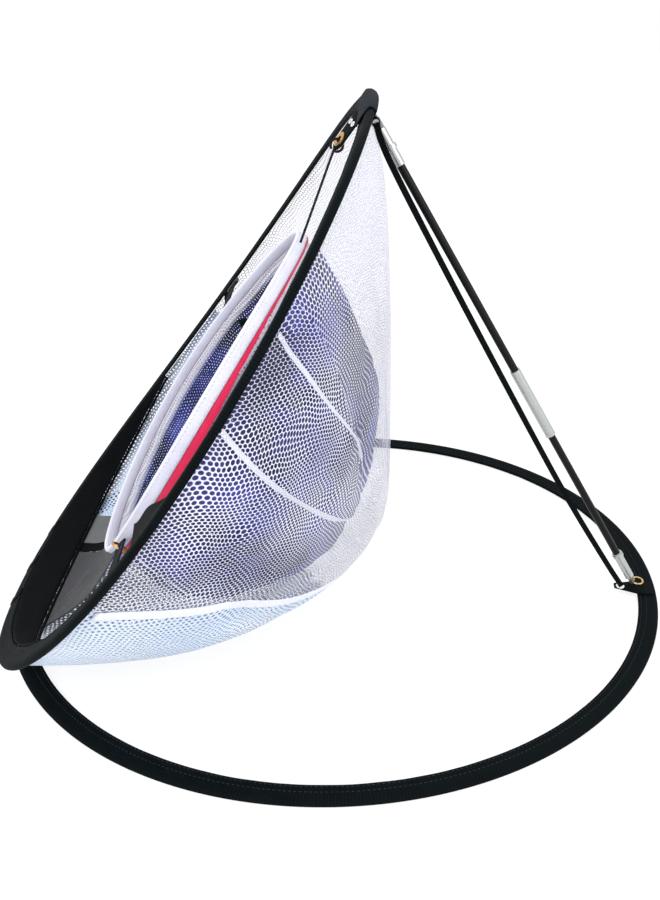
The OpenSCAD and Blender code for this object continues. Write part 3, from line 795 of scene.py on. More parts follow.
def sweep(
    name: str, section: Section, rows: int, place: Spot, span: float, loop: bool = False
) -> Piece:
    """Sweeps a closed section along a path.

    Args:
        name: The object's name.
        section: The section's points in millimetres, in order.
        rows: Faces along the path.
        place: Gives the point for a place along the path and a point of the section.
        span: The path's length in metres, for the weave.
        loop: Whether the path closes on itself.

    Returns:
        The object.
    """
    count = len(section)
    girth = [0.0]
    for i in range(count):
        girth.append(girth[-1] + math.dist(section[i], section[(i + 1) % count]) * MM)

    def at(u: float, v: float) -> Vector:
        """The point at the nearest corner of the section."""
        return place(0.0 if loop and v > 1 - 1e-6 else v, *section[round(u * count) % count])

    bm = loft(count, rows, at, lambda u, v, _: (girth[round(u * count)], v * span), closed=True)
    if not loop:
        rims = [edge for edge in bm.edges if edge.is_boundary]
        bmesh.ops.holes_fill(bm, edges=rims, sides=0)
        bmesh.ops.recalc_face_normals(bm, faces=bm.faces)
    return solid(name, bm)


def flat_section(width: float, thick: float) -> Section:
    """Section of flat tape with soft edges, centred, in millimetres.

    Args:
        width: Its width.
        thick: Its thickness.

    Returns:
        The section's points, in order.
    """
    w, t, r = width / 2, thick / 2, min(thick * 0.45, width * 0.2)
    return [
        (-w, 0), (-w + r * 0.3, -t * 0.8), (-w + r, -t), (-w * 0.33, -t), (w * 0.33, -t),
        (w - r, -t), (w - r * 0.3, -t * 0.8), (w, 0), (w - r * 0.3, t * 0.8), (w - r, t),
        (w * 0.33, t), (-w * 0.33, t), (-w + r, t), (-w + r * 0.3, t * 0.8),
    ]


def round_section(radius: float, half: int) -> Section:
    """Round section of twice so many corners, in millimetres."""
    turns = [k * math.pi / half for k in range(2 * half)]
    return [(radius * math.cos(t), radius * math.sin(t)) for t in turns]


def ribbon(
    name: str,
    path: Sequence[Vector],
    side: Vector,
    section: Section,
    rows: int = 24,
    widen: Callable[[float], float] = lambda v: 1.0,
) -> Piece:
    """Tape or cord along a smooth path.

    Args:
        name: The object's name.
        path: Points that it passes, in metres.
        side: Direction of its width.
        section: Its section in millimetres.
        rows: Faces along.
        widen: Share of its width at each place along it.

    Returns:
        The object.
    """
    points = smooth_path(path, rows)

    def place(v: float, a: float, b: float) -> Vector:
        """A point of the tape's surface."""
        i = min(round(v * rows), rows)
        along = (points[min(i + 1, rows)] - points[max(i - 1, 0)]).normalized()
        across = (side - along * side.dot(along)).normalized()
        return points[i] + across * (a * widen(v) * MM) + along.cross(across) * (b * MM)

    return sweep(name, section, rows, place, running(points)[-1])


def smooth_path(points: Sequence[Vector], rows: int) -> list[Vector]:
    """Evenly numbered points on a smooth curve through the given ones.

    Args:
        points: The points that it passes.
        rows: How many steps it has.

    Returns:
        One point more than it has steps.
    """
    if len(points) == 2:
        return [points[0].lerp(points[1], i / rows) for i in range(rows + 1)]
    result = []
    last = len(points) - 1
    for i in range(rows + 1):
        t = i / rows * last
        k = min(int(t), last - 1)
        f = t - k
        p0, p1 = points[max(k - 1, 0)], points[k]
        p2, p3 = points[k + 1], points[min(k + 2, last)]
        square = (2 * p0 - 5 * p1 + 4 * p2 - p3) * f * f
        cube = (3 * p1 - p0 - 3 * p2 + p3) * f * f * f
        result.append(0.5 * (2 * p1 + (p2 - p0) * f + square + cube))
    return result


def running(line: Sequence[Vector]) -> list[float]:
    """Length along a line of points, up to each of them.

    Args:
        line: The points.

    Returns:
        A length for each point, 0 for the first.
    """
    run = [0.0]
    for p, q in zip(line, line[1:]):
        run.append(run[-1] + (q - p).length)
    return run


def stitches(name: str, line: Line, count: int, length: float) -> Piece:
    """A row of short raised threads.

    Args:
        name: The object's name.
        line: Gives the place and the way up for a value from 0 to 1.
        count: How many stitches.
        length: Length of each, in millimetres.

    Returns:
        The object.
    """
    bm = bmesh.new()
    layer = bm.loops.layers.uv.new("UVMap")
    size = Matrix.Diagonal((length * MM, 0.5 * MM, 0.36 * MM, 1.0))
    for i in range(count):
        here, up = line((i + 0.5) / count)
        ahead, _ = line(min((i + 0.6) / count, 1.0))
        along = (ahead - here).normalized()
        axes = Matrix((along, up.cross(along).normalized(), up.normalized())).transposed()
        turn = Matrix.Translation(here) @ axes.to_4x4() @ size
        made = bmesh.ops.create_icosphere(bm, subdivisions=1, radius=0.5, matrix=turn)
        for vert in made["verts"]:
            for loop in vert.link_loops:
                loop[layer].uv = (vert.co.x, vert.co.z)
    return solid(name, bm)


def merged(name: str, pieces: Sequence[Piece]) -> Piece:
    """Joins meshes into one object and drops the old ones.

    Args:
        name: The object's name.
        pieces: What to join.

    Returns:
        The joined object.
    """
    bm = bmesh.new()
    for piece in pieces:
        bm.from_mesh(piece.data)
        bpy.data.objects.remove(piece)
    return solid(name, bm)


def wire_ring(place: Vector, axis: Vector, radius: float, wire: float) -> Piece:
    """A small round ring of wire.

    Args:
        place: Its middle, in metres.
        axis: The way that it faces.
        radius: Radius of its wire's centre line, in millimetres.
        wire: Radius of its wire.

    Returns:
        The object.
    """
    turn = axis.to_track_quat("Z", "Y").to_matrix()

    def at(v: float, a: float, b: float) -> Vector:
        """A point of the ring."""
        t = math.tau * v
        flat = Vector(((radius + a) * math.cos(t), (radius + a) * math.sin(t), b))
        return place + turn @ (flat * MM)

    return sweep("small_ring", round_section(wire, 4), 24, at, math.tau * radius * MM, loop=True)


def thin_sheet(
    name: str, thick: float, place: Place, size: tuple[float, float], across: int, along: int
) -> Piece:
    """A thin sheet with real thickness.

    Args:
        name: The object's name.
        thick: Thickness in millimetres.
        place: Gives its points.
        size: Flat size in metres, for the weave.
        across: Faces across.
        along: Faces along.

    Returns:
        The object.
    """
    bm = loft(along, across, place, lambda u, v, _: (v * size[1], u * size[0]))
    bmesh.ops.solidify(bm, geom=bm.faces[:] + bm.edges[:] + bm.verts[:], thickness=thick * MM)
    bmesh.ops.recalc_face_normals(bm, faces=bm.faces)
    return solid(name, bm)


def wear(
    piece: Piece,
    finish: Finish,
    *nodes: str,
    body: str = "hoop",
    slot: Optional[str] = None,
    blend: Optional[tuple[str, str, Vector, Vector]] = None,
) -> Piece:
    """Gives a new piece its finish and its body.

    Args:
        piece: The piece.
        finish: Its finish.
        nodes: CAD nodes that it stands for.
        body: The body that it rides on.
        slot: The record's slot, if it isn't the finish's own name; not used.
        blend: Two bodies and two points where it runs between bodies; when given, the piece keeps
            its place baked in and rides on no body.

    Returns:
        The piece.
    """
    piece.data.materials.append(finish.made())
    if blend:
        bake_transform(piece)
    else:
        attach(piece, body)
    if nodes:
        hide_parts(*nodes)
    slot or finish.name
    log.info("%s: %d faces", piece.name, len(piece.data.polygons))
    return piece


def flatten(piece: Piece, keep: float, front: float = 0.0, back: float = 0.0) -> None:
    """Gives soft cloth behind the target hoop its own copy of its mesh; it is not flattened.

    Args:
        piece: The cloth.
        keep: Share of its depth that is left at the fold's end; not used.
        front: How far the plane lies before the hoop's foot, in millimetres.
        back: How far that plane lies behind the hoop, in millimetres.
    """
    reach = 245
    foot, head = NET.leaning(0, -reach, front - back), NET.leaning(0, reach, -back)
    tuple(foot)
    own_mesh(piece)


# --------------------------------------------------------------- the two hoops


@dataclass
class Hoops:
    """Both sprung hoops: folded webbing with a bulge where the wire runs."""

    rows: int = 288
    pucker: float = 0.18
    waves: float = 14.0
    base_span: float = 1.63
    hoop_span: float = 1.56
    girth: float = 1560.0
    stitch_gap: float = 3.2
    stitch_length: float = 2.2

    base_section = [
        (0.0, 2.2), (0.3, 1.1), (1.1, 0.3), (2.4, 0.0), (9.0, 0.0), (14.6, 0.0), (15.7, 0.4),
        (16.0, 1.5), (15.8, 2.8), (14.9, 3.4), (12.2, 3.4), (9.8, 3.6), (7.6, 4.1), (5.6, 4.38),
        (3.6, 4.4), (1.8, 4.1), (0.6, 3.3),
    ]
    hoop_section = [
        (0.1, 0.0), (0.5, -1.3), (1.8, -2.15), (4.0, -2.5), (6.4, -2.3), (8.6, -1.6),
        (11.0, -1.1), (15.3, -1.0), (15.9, -0.5), (15.9, 0.5), (15.3, 1.0), (11.0, 1.1),
        (8.6, 1.6), (6.4, 2.3), (4.0, 2.5), (1.8, 2.15), (0.5, 1.3),
    ]

    def ripple(self, v: float, inset: float, seed: float) -> float:
        """Small waves of the tape's free side, in millimetres.

        Args:
            v: From 0 to 1 round the hoop.
            inset: Distance in from the outer edge.
            seed: Sets one hoop's waves apart from the other's.

        Returns:
            The height.
        """
        x, y = self.waves * math.cos(math.tau * v), self.waves * math.sin(math.tau * v)
        where = Vector((x, y, seed + inset * 0.06))
        return noise.noise(where) * self.pucker * min(inset / 8, 1.5)

    def base_point(self, v: float, inset: float, z: float) -> Vector:
        """A point of the base band, which neither sinks into the floor nor swells.

        Args:
            v: From 0 to 1 round the hoop.
            inset: Distance in from the outer edge, in millimetres.
            z: Height in the section.

        Returns:
            The point, in metres.
        """
        lift = self.ripple(v, inset, 3.0)
        lift = max(lift, 0.0) if z < 1.0 else lift
        return NET.oval(360 * v, inset, min(max(z + lift, 0.0), NET.base_t))

    def hoop_point(self, v: float, inset: float, rise: float) -> Vector:
        """A point of the leaning band."""
        return NET.rim(360 * v, inset, rise + self.ripple(v, inset, 9.0))

    def build(self) -> None:
        """Makes both bands and their stitching."""
        for body, section, place, span in (
            ("base", self.base_section, self.base_point, self.base_span),
            ("hoop", self.hoop_section, self.hoop_point, self.hoop_span),
        ):
            band = sweep(f"{body}_band", section, self.rows, place, span, loop=True)
            wear(band, Finish.webbing, f"{body}_sleeve", body=body)
        out, up = NET.way(0, 0, 1), Vector((0, 0, 1))
        for label, inset, rise, top in (("outer", 9.6, 1.5, 3.75), ("inner", 13.8, 1.12, 3.5)):
            for face, sign in (("front", 1.0), ("back", -1.0)):
                name = f"hoop_stitches_{label}_{face}"
                self.row(name, "hoop", self.hoop_point, inset, sign * rise, out * sign)
            self.row(f"base_stitches_{label}", "base", self.base_point, inset, top, up)

    def row(
        self, name: str, body: str, place: Spot, inset: float, height: float, up: Vector
    ) -> None:
        """One row of stitches round a band.

        Args:
            name: The row's name.
            body: The body that it rides on.
            place: The band's own shape.
            inset: How far in from the band's outer edge, in millimetres.
            height: Its place through the band's thickness.
            up: The way that it faces.
        """
        count = round(self.girth / self.stitch_gap)
        line = lambda v: (place(v, inset, height), up)
        row = stitches(name, line, count, self.stitch_length)
        wear(row, Finish.black_thread, body=body, slot="webbing")


# ------------------------------------------------------------------- the bags


@dataclass
class Bags:
    """The outer and the inner net bag, each with its weave laid out in gores."""

    columns: int = 216
    rows: int = 96
    tail: float = 0.95
    hem: float = 0.0625
    tape_rows: int = 64
    tape_t: float = 0.7
    tape_start: float = 0.01
    outer_tape_w: float = 8.0
    outer_tape_end: float = 0.62
    inner_tape_w: float = 4.0
    low_start: float = 350.0
    low_turn: float = 27.0
    low_until: float = 0.3
    low_tail: float = -170.0
    outer_keep: float = 0.25
    inner_keep: float = 0.08
    before_foot: float = 5.4
    behind_hoop: float = 16.0
    outer_gores: tuple[float, ...] = (42.0, 138.0, 222.0, 318.0)
    inner_gores: tuple[float, ...] = (20.0, 50.0, 128.0, 200.0, 262.0, 324.0)

    def bag_point(self, inside: bool, u: float, v: float, out: float = 0.0) -> Vector:
        """A point of a bag, with its sags and creases.

        Args:
            inside: Whether it is the inner bag.
            u: From 0 to 1 round the bag.
            v: From 0 at the mouth to 1 at the middle of the tail.
            out: Distance off the cloth in millimetres.

        Returns:
            The point.
        """
        along = self.depth_share(inside, v)
        dent = self.crease(inside, 360.0 * u, along) if along > 0 else 0.0
        return self.plain_point(inside, u, v, out - dent)

    def depth_share(self, inside: bool, v: float) -> float:
        """Where a row lies along the bag's shape, from 0 at its mouth to 1 at its tail."""
        start = self.hem if inside else 0.0
        return min(max((v - start) / (self.tail - start), 0.0), 1.0)

    def plain_point(self, inside: bool, u: float, v: float, out: float = 0.0) -> Vector:
        """A point of a bag before it creases.

        Args:
            inside: Whether it is the inner bag.
            u: From 0 to 1 round the bag.
            v: From 0 at the mouth to 1 at the middle of the tail.
            out: Distance off the cloth in millimetres.

        Returns:
            The point, in metres.
        """
        angle = 360.0 * u
        if inside and v < self.hem:
            deep = NET.strip_h - 0.6 + (NET.band_h + 1.5) * v / self.hem
            return NET.on_ring(angle, NET.ring_r - 4.3 + out, deep)
        shape = NET.inner if inside else NET.outer
        here = shape(self.depth_share(inside, v), angle, out)
        if v <= self.tail:
            return here
        middle = (shape(1.0, 0.0) + shape(1.0, 180.0)) / 2
        return here.lerp(middle, (v - self.tail) / (1 - self.tail))

    def crease(self, inside: bool, angle: float, along: float) -> float:
        """How far the cloth is drawn in, in millimetres: broad dents, fine ones and folds.

        Args:
            inside: Whether it is the inner bag.
            angle: Degrees from +X.
            along: From 0 at the mouth to 1 at the tail.

        Returns:
            The distance.
        """
        a = math.radians(angle)
        grow = math.sin(math.pi * min(along * 1.02, 1.0)) ** 0.7 if along < 0.98 else 0.0
        where = Vector((math.cos(a) * 2.2, math.sin(a) * 2.2, along * 1.4 + (5 if inside else 0)))
        broad = abs(noise.noise(where))
        fine = abs(noise.noise(where * 3.1 + Vector((4, 1, 7))))
        if inside:
            folds = abs(math.sin(a * 4.0 + 2.6 * along + 2.2 * noise.noise(where * 0.8)))
            return grow * (18.0 * broad + 9.0 * fine + 11.0 * (1 - folds) ** 2)
        folds = abs(math.sin(a * 2.5 + 3.1 * along + 1.2 * noise.noise(where * 0.7)))
        return grow * (7.0 * broad + 2.0 * fine + 4.0 * (1 - folds) ** 2)

    def chart(self, inside: bool, gores: Sequence[float]) -> Callable:
        """Lays each gore flat.

        Args:
            inside: Whether it is the inner bag.
            gores: The angles in degrees where one gore ends and the next begins, in order.

        Returns:
            A function for loft().
        """
        steps, lines, spots = self.rows, 24, 72

        def at(u: float, i: int) -> Vector:
            """A point of the bag before it creases, by its row."""
            return self.plain_point(inside, u, i / steps)

        depth = [running([at(k / lines, i) for i in range(steps + 1)]) for k in range(lines)]
        girth = [running([at(k / spots, i) for k in range(spots + 1)]) for i in range(steps + 1)]

        def around(u: float, v: float) -> float:
            """Distance round the bag at a place."""
            row = girth[round(v * steps)]
            k = u * spots
            low = min(int(k), spots - 1)
            return row[low] + (row[low + 1] - row[low]) * (k - low)

        def inward(u: float, v: float) -> float:
            """Distance from the mouth at a place."""
            k = (u * lines) % lines
            low = int(k) % lines
            i = round(v * steps)
            return depth[low][i] * (1 - k % 1) + depth[(low + 1) % lines][i] * (k % 1)

        def flat(u: float, v: float, middle: float) -> tuple[float, float]:
            """UV of a corner in its own gore, in metres."""
            angle = middle * 360
            start = max((g for g in gores if g <= angle), default=gores[-1] - 360)
            end = min((g for g in gores if g > angle), default=gores[0] + 360)
            centre = (start + end) / 2 / 360
            turn = math.floor(centre)
            return around(u, v) - around(centre - turn, v) - turn * around(1.0, v), inward(u, v)

        return flat

    def bag(self, name: str, inside: bool, gores: Sequence[float]) -> Piece:
        """One whole bag as a thin sheet.

        Args:
            name: The object's name.
            inside: Whether it is the inner bag.
            gores: The angles in degrees where its gores meet.

        Returns:
            The object.
        """
        place = lambda u, v: self.bag_point(inside, u % 1.0, v)
        chart = self.chart(inside, gores)
        return solid(name, loft(self.columns, self.rows, place, chart, closed=True))

    def low_edge(self, along: float) -> float:
        """Angle in degrees of the level edge of the bottom gore, near side, along the bag."""
        return self.low_start + self.low_turn * min(along, self.low_until)

    def seam(
        self, name: str, inside: bool, course: Callable[[float], float], width: float, end: float
    ) -> Piece:
        """White tape sewn along a bag.

        Args:
            name: The object's name.
            inside: Whether the inner bag carries it.
            course: Gives its angle in degrees along the bag.
            width: Its width in millimetres.
            end: Share of the bag's length at which it ends.

        Returns:
            The object.
        """

        def place(v: float, a: float, b: float) -> Vector:
            """A point of the tape."""
            along = (self.hem if inside else 0.0) + self.tape_start
            along += v * ((self.tail - self.tape_start) * end - along)
            turn = course(along / self.tail) / 360
            here = self.bag_point(inside, turn % 1.0, along, self.tape_t + b)
            ahead = self.bag_point(inside, (turn + 0.002) % 1.0, along, self.tape_t + b)
            return here + (ahead - here).normalized() * (a * MM)

        tape = sweep(name, flat_section(width, self.tape_t), self.tape_rows, place, 0.3)
        return wear(tape, Finish.seam_tape, slot="white_tape")

    def build(self) -> None:
        """Makes both bags and their tapes."""
        outer = self.bag("outer_bag", False, self.outer_gores)
        outer.data.materials.append(Finish.pale_net.made())
        outer.data.materials.append(Finish.low_net.made())
        self.paint_low(outer)
        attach(outer, "hoop")
        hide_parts("outer_net")
        inner = self.bag("inner_bag", True, self.inner_gores)
        wear(inner, Finish.blue_net, "inner_net")
        level = (lambda along: 540.0 - self.low_edge(along), self.low_edge)
        outer_tapes = [
            self.seam(f"outer_seam_{k}", False, course, self.outer_tape_w, self.outer_tape_end)
            for k, course in enumerate(level)
        ]
        inner_tapes = [
            self.seam(f"inner_seam_{k}", True, lambda _, g=gore: g, self.inner_tape_w, 1.0)
            for k, gore in enumerate(self.inner_gores)
        ]
        for piece in (outer, *outer_tapes):
            flatten(piece, self.outer_keep, front=self.before_foot)
        for piece in (inner, *inner_tapes):
            flatten(piece, self.inner_keep, back=self.behind_hoop)

    def paint_low(self, outer: Piece) -> None:
        """Gives the faces of the bottom gore the pale blue net.

        Args:
            outer: The outer bag, with both nets on it.
        """
        for face in outer.data.polygons:
            s, n = NET.slope(face.center / MM)
            d = min(max(-n - NET.hoop_t / 2 - NET.gap, 0.0), NET.outer_depth - 0.1)
            u = math.asin(d / NET.outer_depth) / (math.pi / 2)
            edge, _ = NET.slope(NET.outer(u, self.low_edge(u)) / MM)
            face.material_index = 1 if s < edge and n > self.low_tail else 0


# ------------------------------------------------- ring, lip and small straps


@dataclass
class InnerRing:
    """White sleeve and gathered red band round the inner ring."""

    rows: int = 216
    span: float = 0.91
    sleeve_t: float = 4.0
    band_t: float = 2.8
    band_inset: float = 0.6
    stitch_count: int = 300
    stitch_length: float = 2.0

    @staticmethod
    def red_share(angle: float) -> float:
        """How much of the band's depth the red cloth covers, ragged like a torn hem.

        Args:
            angle: Degrees from +X.

        Returns:
            A share from 0 to 1.
        """
        turn = (angle + 180) % 360 - 180
        near, far = (turn - 6) / 36, (abs(turn) - 180) / 50
        a = math.radians(angle)
        ragged = noise.noise(Vector((math.cos(a) * 30, math.sin(a) * 30, 3)))
        return 0.1 + (math.exp(-(near**2)) + 0.5 * math.exp(-(far**2))) * (0.52 + 0.14 * ragged)

    def collar(
        self, name: str, radius: float, thick: float, start: float, deep: float, pucker: float,
        cover: Callable[[float], float] = lambda angle: 1.0,
    ) -> Piece:
        """A rounded collar round the ring.

        Args:
            name: The object's name.
            radius: Outer radius in millimetres.
            thick: Radial thickness.
            start: Distance of its front behind the ring's front.
            deep: Its depth.
            pucker: Height of its gathers.
            cover: Share of the depth that is covered at an angle.

        Returns:
            The object.
        """
        r = thick * 0.4
        s = r * 0.35
        section = [
            (0.0, r), (s, s), (r, 0.0), (thick - r, 0.0), (thick - s, s), (thick, r),
            (thick, deep * 0.5), (thick, deep - r), (thick - s, deep - s), (thick - r, deep),
            (r, deep), (s, deep - s), (0.0, deep - r), (0.0, deep * 0.5),
        ]

        def place(v: float, a: float, b: float) -> Vector:
            """A point of the collar, gathered on its outside only."""
            turn = math.tau * v
            where = Vector((math.cos(turn) * 22, math.sin(turn) * 22, b * 0.12 + start))
            gather = (noise.noise(where) - 0.5) * pucker
            inward = a - min(gather, 0.0) if a < thick / 2 else a
            return NET.on_ring(360 * v, radius - inward, start + b * cover(360 * v))

        return sweep(name, section, self.rows, place, self.span, loop=True)

    def build(self) -> None:
        """Makes the sleeve, the band and their stitches."""
        sleeve = self.collar("ring_strip", NET.ring_r, self.sleeve_t, 0.0, NET.strip_h, 0.5)
        wear(sleeve, Finish.white_tape, "ring_sleeve")
        band = self.collar(
            "ring_red_band", NET.ring_r - self.band_inset, self.band_t, NET.strip_h + NET.gap,
            NET.band_h, 0.9, self.red_share,
        )
        wear(band, Finish.red_tape, "ring_band")
        for name, back in (("ring_stitches_front", 1.8), ("ring_stitches_back", 7.4)):

            def line(v: float, back: float = back) -> tuple[Vector, Vector]:
                """Place and way up along the row."""
                here = NET.on_ring(360 * v, NET.ring_r - 0.1, back)
                return here, here - NET.on_ring(360 * v, NET.ring_r - 9, back)

            row = stitches(name, line, self.stitch_count, self.stitch_length)
            wear(row, Finish.white_thread, slot="white_tape")


@dataclass
class Lip:
    """Black lip inside the lower half of the hoop, and the cloth between it and the ring."""

    columns: int = 180
    lip_t: float = 1.0
    cloth_t: float = 0.8
    binding_r: float = 1.2
    binding_out: float = 1.5
    cloth_out: float = 2.4
    cloth_sag: float = 8.0
    fold_keep: float = 0.4

    low_cloths = (
        ("low_panel", Finish.grey_panel, "bottom_panel", (-18, -8.5, 266, 281),
         (0.042, 0.078), 0.0029),
        ("low_hem", Finish.binding, "bottom_hem", (-8.3, -5.3, 281.3, 286),
         (0.0125, 0.082), 0.00097),
        ("low_mesh", Finish.dark_net, "bottom_net", (-5.1, 25, 286.3, 325),
         (0.128, 0.095), 0.0083),
    )

    def lip_point(self, u: float, v: float) -> Vector:
        """A point of the lip, slightly slack between its seam and its edge.

        Args:
            u: From 0 to 1 round the lip.
            v: From 0 at its seam to 1 at its free edge.

        Returns:
            The point, in metres.
        """
        here = NET.lip(NET.lip_reach * (2 * u - 1), v)
        wave = noise.noise(Vector((u * 16, v * 1.5, 2.0))) * math.sin(math.pi * v)
        return here + (NET.leaning(0, 0, 0) - here).normalized() * ((0.3 + wave) * MM)

    def web_point(self, b0: float, b1: float, a0: float, a1: float, u: float, v: float) -> Vector:
        """A point of the cloth between the lip and the ring.

        Args:
            b0: Where it starts on the lip, in degrees from the bottom.
            b1: Where it ends there.
            a0: Where it starts on the ring, in degrees from +X.
            a1: Where it ends there.
            u: From 0 to 1 along the lip.
            v: From 0 at the lip to 1 at the ring.

        Returns:
            The point.
        """
        b = b0 + (b1 - b0) * u
        seam, edge = NET.lip(b, 0.0), NET.lip(b, 1.0)
        edge = edge + (edge - seam).normalized() * (self.cloth_out * MM)
        ring = NET.on_ring(a0 + (a1 - a0) * u, NET.ring_r + 0.4, NET.strip_h / 2)
        wave = 1.5 * noise.noise(Vector((u * 3, v * 2, b0)))
        sag = math.sin(math.pi * v) * (self.cloth_sag + wave)
        return edge.lerp(ring, v) - NET.way(0, 0, 1).normalized() * (sag * MM)

    def binding_point(self, v: float, a: float, b: float) -> Vector:
        """A point of the round binding on the lip's free edge.

        Args:
            v: From 0 to 1 round the lip.
            a: The section's point down the lip, in millimetres.
            b: The section's point across it.

        Returns:
            The point, in metres.
        """
        angle = NET.lip_reach * (2 * v - 1)
        seam, edge = NET.lip(angle, 0.0), NET.lip(angle, 1.0)
        fall = (edge - seam).normalized()
        along = (NET.lip(angle + 0.5, 1.0) - NET.lip(angle - 0.5, 1.0)).normalized()
        return edge + fall * ((self.binding_out + a) * MM) + along.cross(fall) * (b * MM)

    def build(self) -> None:
        """Makes the lip, its binding, and the three pieces of cloth."""
        size = (0.80, 0.025)
        lip = thin_sheet("lip_cloth", self.lip_t, self.lip_point, size, 8, self.columns)
        wear(lip, Finish.lip_fabric, "lip")
        edge = round_section(self.binding_r, 5)
        binding = sweep("lip_edge_binding", edge, self.columns, self.binding_point, 0.78)
        wear(binding, Finish.binding, "lip_binding")
        for name, finish, node, spans, flat, area in self.low_cloths:
            place = lambda u, v, s=spans: self.web_point(*s, u, v)
            piece = thin_sheet(name, self.cloth_t, place, (0.12, 0.09), 16, 24)
            wear(piece, finish, node)
            flatten(piece, self.fold_keep)
        for piece in (lip, binding):
            flatten(piece, self.fold_keep)


@dataclass
class Straps:
    """Every flat strap, tab and loop that is seen, as soft tape."""

    near_from: tuple[float, float, float] = (232.718, -24.982, -10.03)
    near_to: tuple[float, float, float] = (128.469, -73.973, -19.159)
    near_length: float = 115.55
    link_at: float = 91.55
    tab_turn: float = math.radians(17.0)
    tab_rise: float = 8.2
    grommet: float = 212.2
    grommet_r: float = 4.35
    cord_r: float = 0.9
    path_rows: int = 96
    foot_turn: float = math.radians(-9.1)
    hinge_turns: tuple[float, float, float] = (-12.0, 0.0, 12.0)

    tape = flat_section(12, 1.3)

    def near_at(self, d: float) -> Vector:
        """A point d millimetres down the near strap."""
        start, end = Vector(self.near_from), Vector(self.near_to)
        return NET.leaning(*start.lerp(end, d / self.near_length))

    def tabbed(self, x: float, y: float, z: float) -> Vector:
        """A point in the frame of the turned top tab."""
        c, d = math.cos(self.tab_turn), math.sin(self.tab_turn)
        return NET.leaning(x * c + z * d, y, z * c - x * d + self.tab_rise)

    def build(self) -> None:
        """Makes every strap."""
        self.tension()
        self.far_side()
        self.near_side()
        self.near_panel()
        self.top_cap()
        self.top_tab()
        self.cord()
        self.base_end()
        self.hinges()

    def tension(self) -> None:
        """The long strap beside the pole, which runs with a slight bow from hoop to base."""
        top = Vector(NET.pin) * MM + Vector((9.6, 0, 0)) * MM
        low = Vector((35.0, 244.966, 7.4)) * MM
        bow = [
            top.lerp(low, k) + Vector((0, -d, -0.5 * d)) * MM
            for k, d in ((0.06, 3.5), (0.25, 5.0), (0.5, 5.5), (0.75, 5.0), (0.93, 2.0))
        ]
        path = smooth_path([top, *bow, low], self.path_rows)
        section = flat_section(4.6, 0.9)
        strap = ribbon("tension_tape", path, Vector((0, 1, 0)), section, self.path_rows)
        wear(strap, Finish.strap, "tension_strap", blend=("base", "hoop", low, top))

    def far_side(self) -> None:
        """Strap, tab and loose end on the far side, and the loose end in the ring."""
        slope = NET.way(0, 1, 0)
        ring = NET.on_ring(180, NET.ring_r + 0.5, NET.strip_h / 2)
        edge = lambda out: NET.rim(180, NET.sleeve_w + out, -2.0)
        strap = ribbon("far_side_strap", [edge(14.3), ring], slope, self.tape)
        wear(strap, Finish.strap, "far_strap")
        tab = ribbon("far_side_tab", [edge(-4), edge(2.7)], slope, self.tape, 6)
        wear(tab, Finish.strap, "far_tab")
        top = edge(9) + NET.way(0, -8.4, 0.4)

        def hang(v: float, a: float, b: float) -> Vector:
            """A point of the loose end, cut on the slant."""
            drop = v * (23.5 + a)
            return top + Vector((b + 0.8 * math.sin(v * 3), a * 0.9 - 1, -drop)) * MM

        tail = sweep("far_loose_end", flat_section(7, 1.0), 16, hang, 0.024)
        wear(tail, Finish.strap, "far_tail")
        turn = math.radians(45)

        def inside(v: float, a: float, b: float) -> Vector:
            """A point of the loose end against the ring."""
            p = -11 + v * (19.5 + a * 0.83)
            x, y = 139.9 + b, a * 0.743 - p * 0.669
            n = NET.ring_rise(45) - 6 - a * 0.669 - p * 0.743
            c, s = math.cos(turn), math.sin(turn)
            return NET.ringed(x * c - y * s, x * s + y * c, n)

        end = sweep("ring_loose_end", flat_section(6, 1.0), 16, inside, 0.022)
        wear(end, Finish.strap, "ring_tail")

    def near_side(self) -> None:
        """Tab and strap on the near side."""
        side = NET.way(0.424, -0.902, 0).normalized()
        path = [self.near_at(0), self.near_at(self.link_at + 3)]
        wear(ribbon("near_side_tab", path, side, self.tape, 32), Finish.strap, "near_tab")
        start, end = self.near_at(self.link_at + 8), self.near_at(self.near_length)
        turn = math.radians(-28)
        first, last = NET.way(-0.424, 0.902, 0), NET.way(-math.sin(turn), math.cos(turn), 0)
        out = NET.way(0, 0, 1)

        def strap_point(v: float, a: float, b: float) -> Vector:
            """A point of the short strap, which turns to lie along the ring."""
            return start.lerp(end, v) + first.lerp(last, v) * a + out * b

        strap = sweep("near_side_strap", self.tape, 12, strap_point, 0.016)
        wear(strap, Finish.strap, "near_strap")

    def near_panel(self) -> None:
        """Slack panel between hoop and ring on the near side, and the tab's stitches."""
        side, out = NET.way(0.424, -0.902, 0).normalized(), NET.way(0, 0, 1)

        def panel_point(u: float, v: float) -> Vector:
            """A point of the panel, whose free edge tapers."""
            hoop = NET.rim(-1 + 13 * u, NET.sleeve_w - 4, -1.4)
            ring = NET.on_ring(-17 + 20 * u, NET.ring_r + 0.6, NET.strip_h / 2)
            sag = math.sin(math.pi * v) * (1.2 + noise.noise(Vector((u * 4, v * 2, 1.0))))
            reach = v * (1.0 - 0.93 * u**1.6) * (1 - 0.12 * math.sin(u * 9))
            return hoop.lerp(ring, reach) - out * sag

        panel = thin_sheet("near_side_panel", 1.0, panel_point, (0.105, 0.055), 24, 16)
        wear(panel, Finish.lip_fabric, "near_panel")
        for name, shift in (("near_stitches_left", -4.6), ("near_stitches_right", 4.6)):

            def row(v: float, shift: float = shift) -> tuple[Vector, Vector]:
                """Place and way up along the tab's edge."""
                return self.near_at(62 + 30 * v) + side * (shift * MM) + out * 0.75, out

            wear(stitches(name, row, 11, 2.2), Finish.blue_thread, slot="strap")

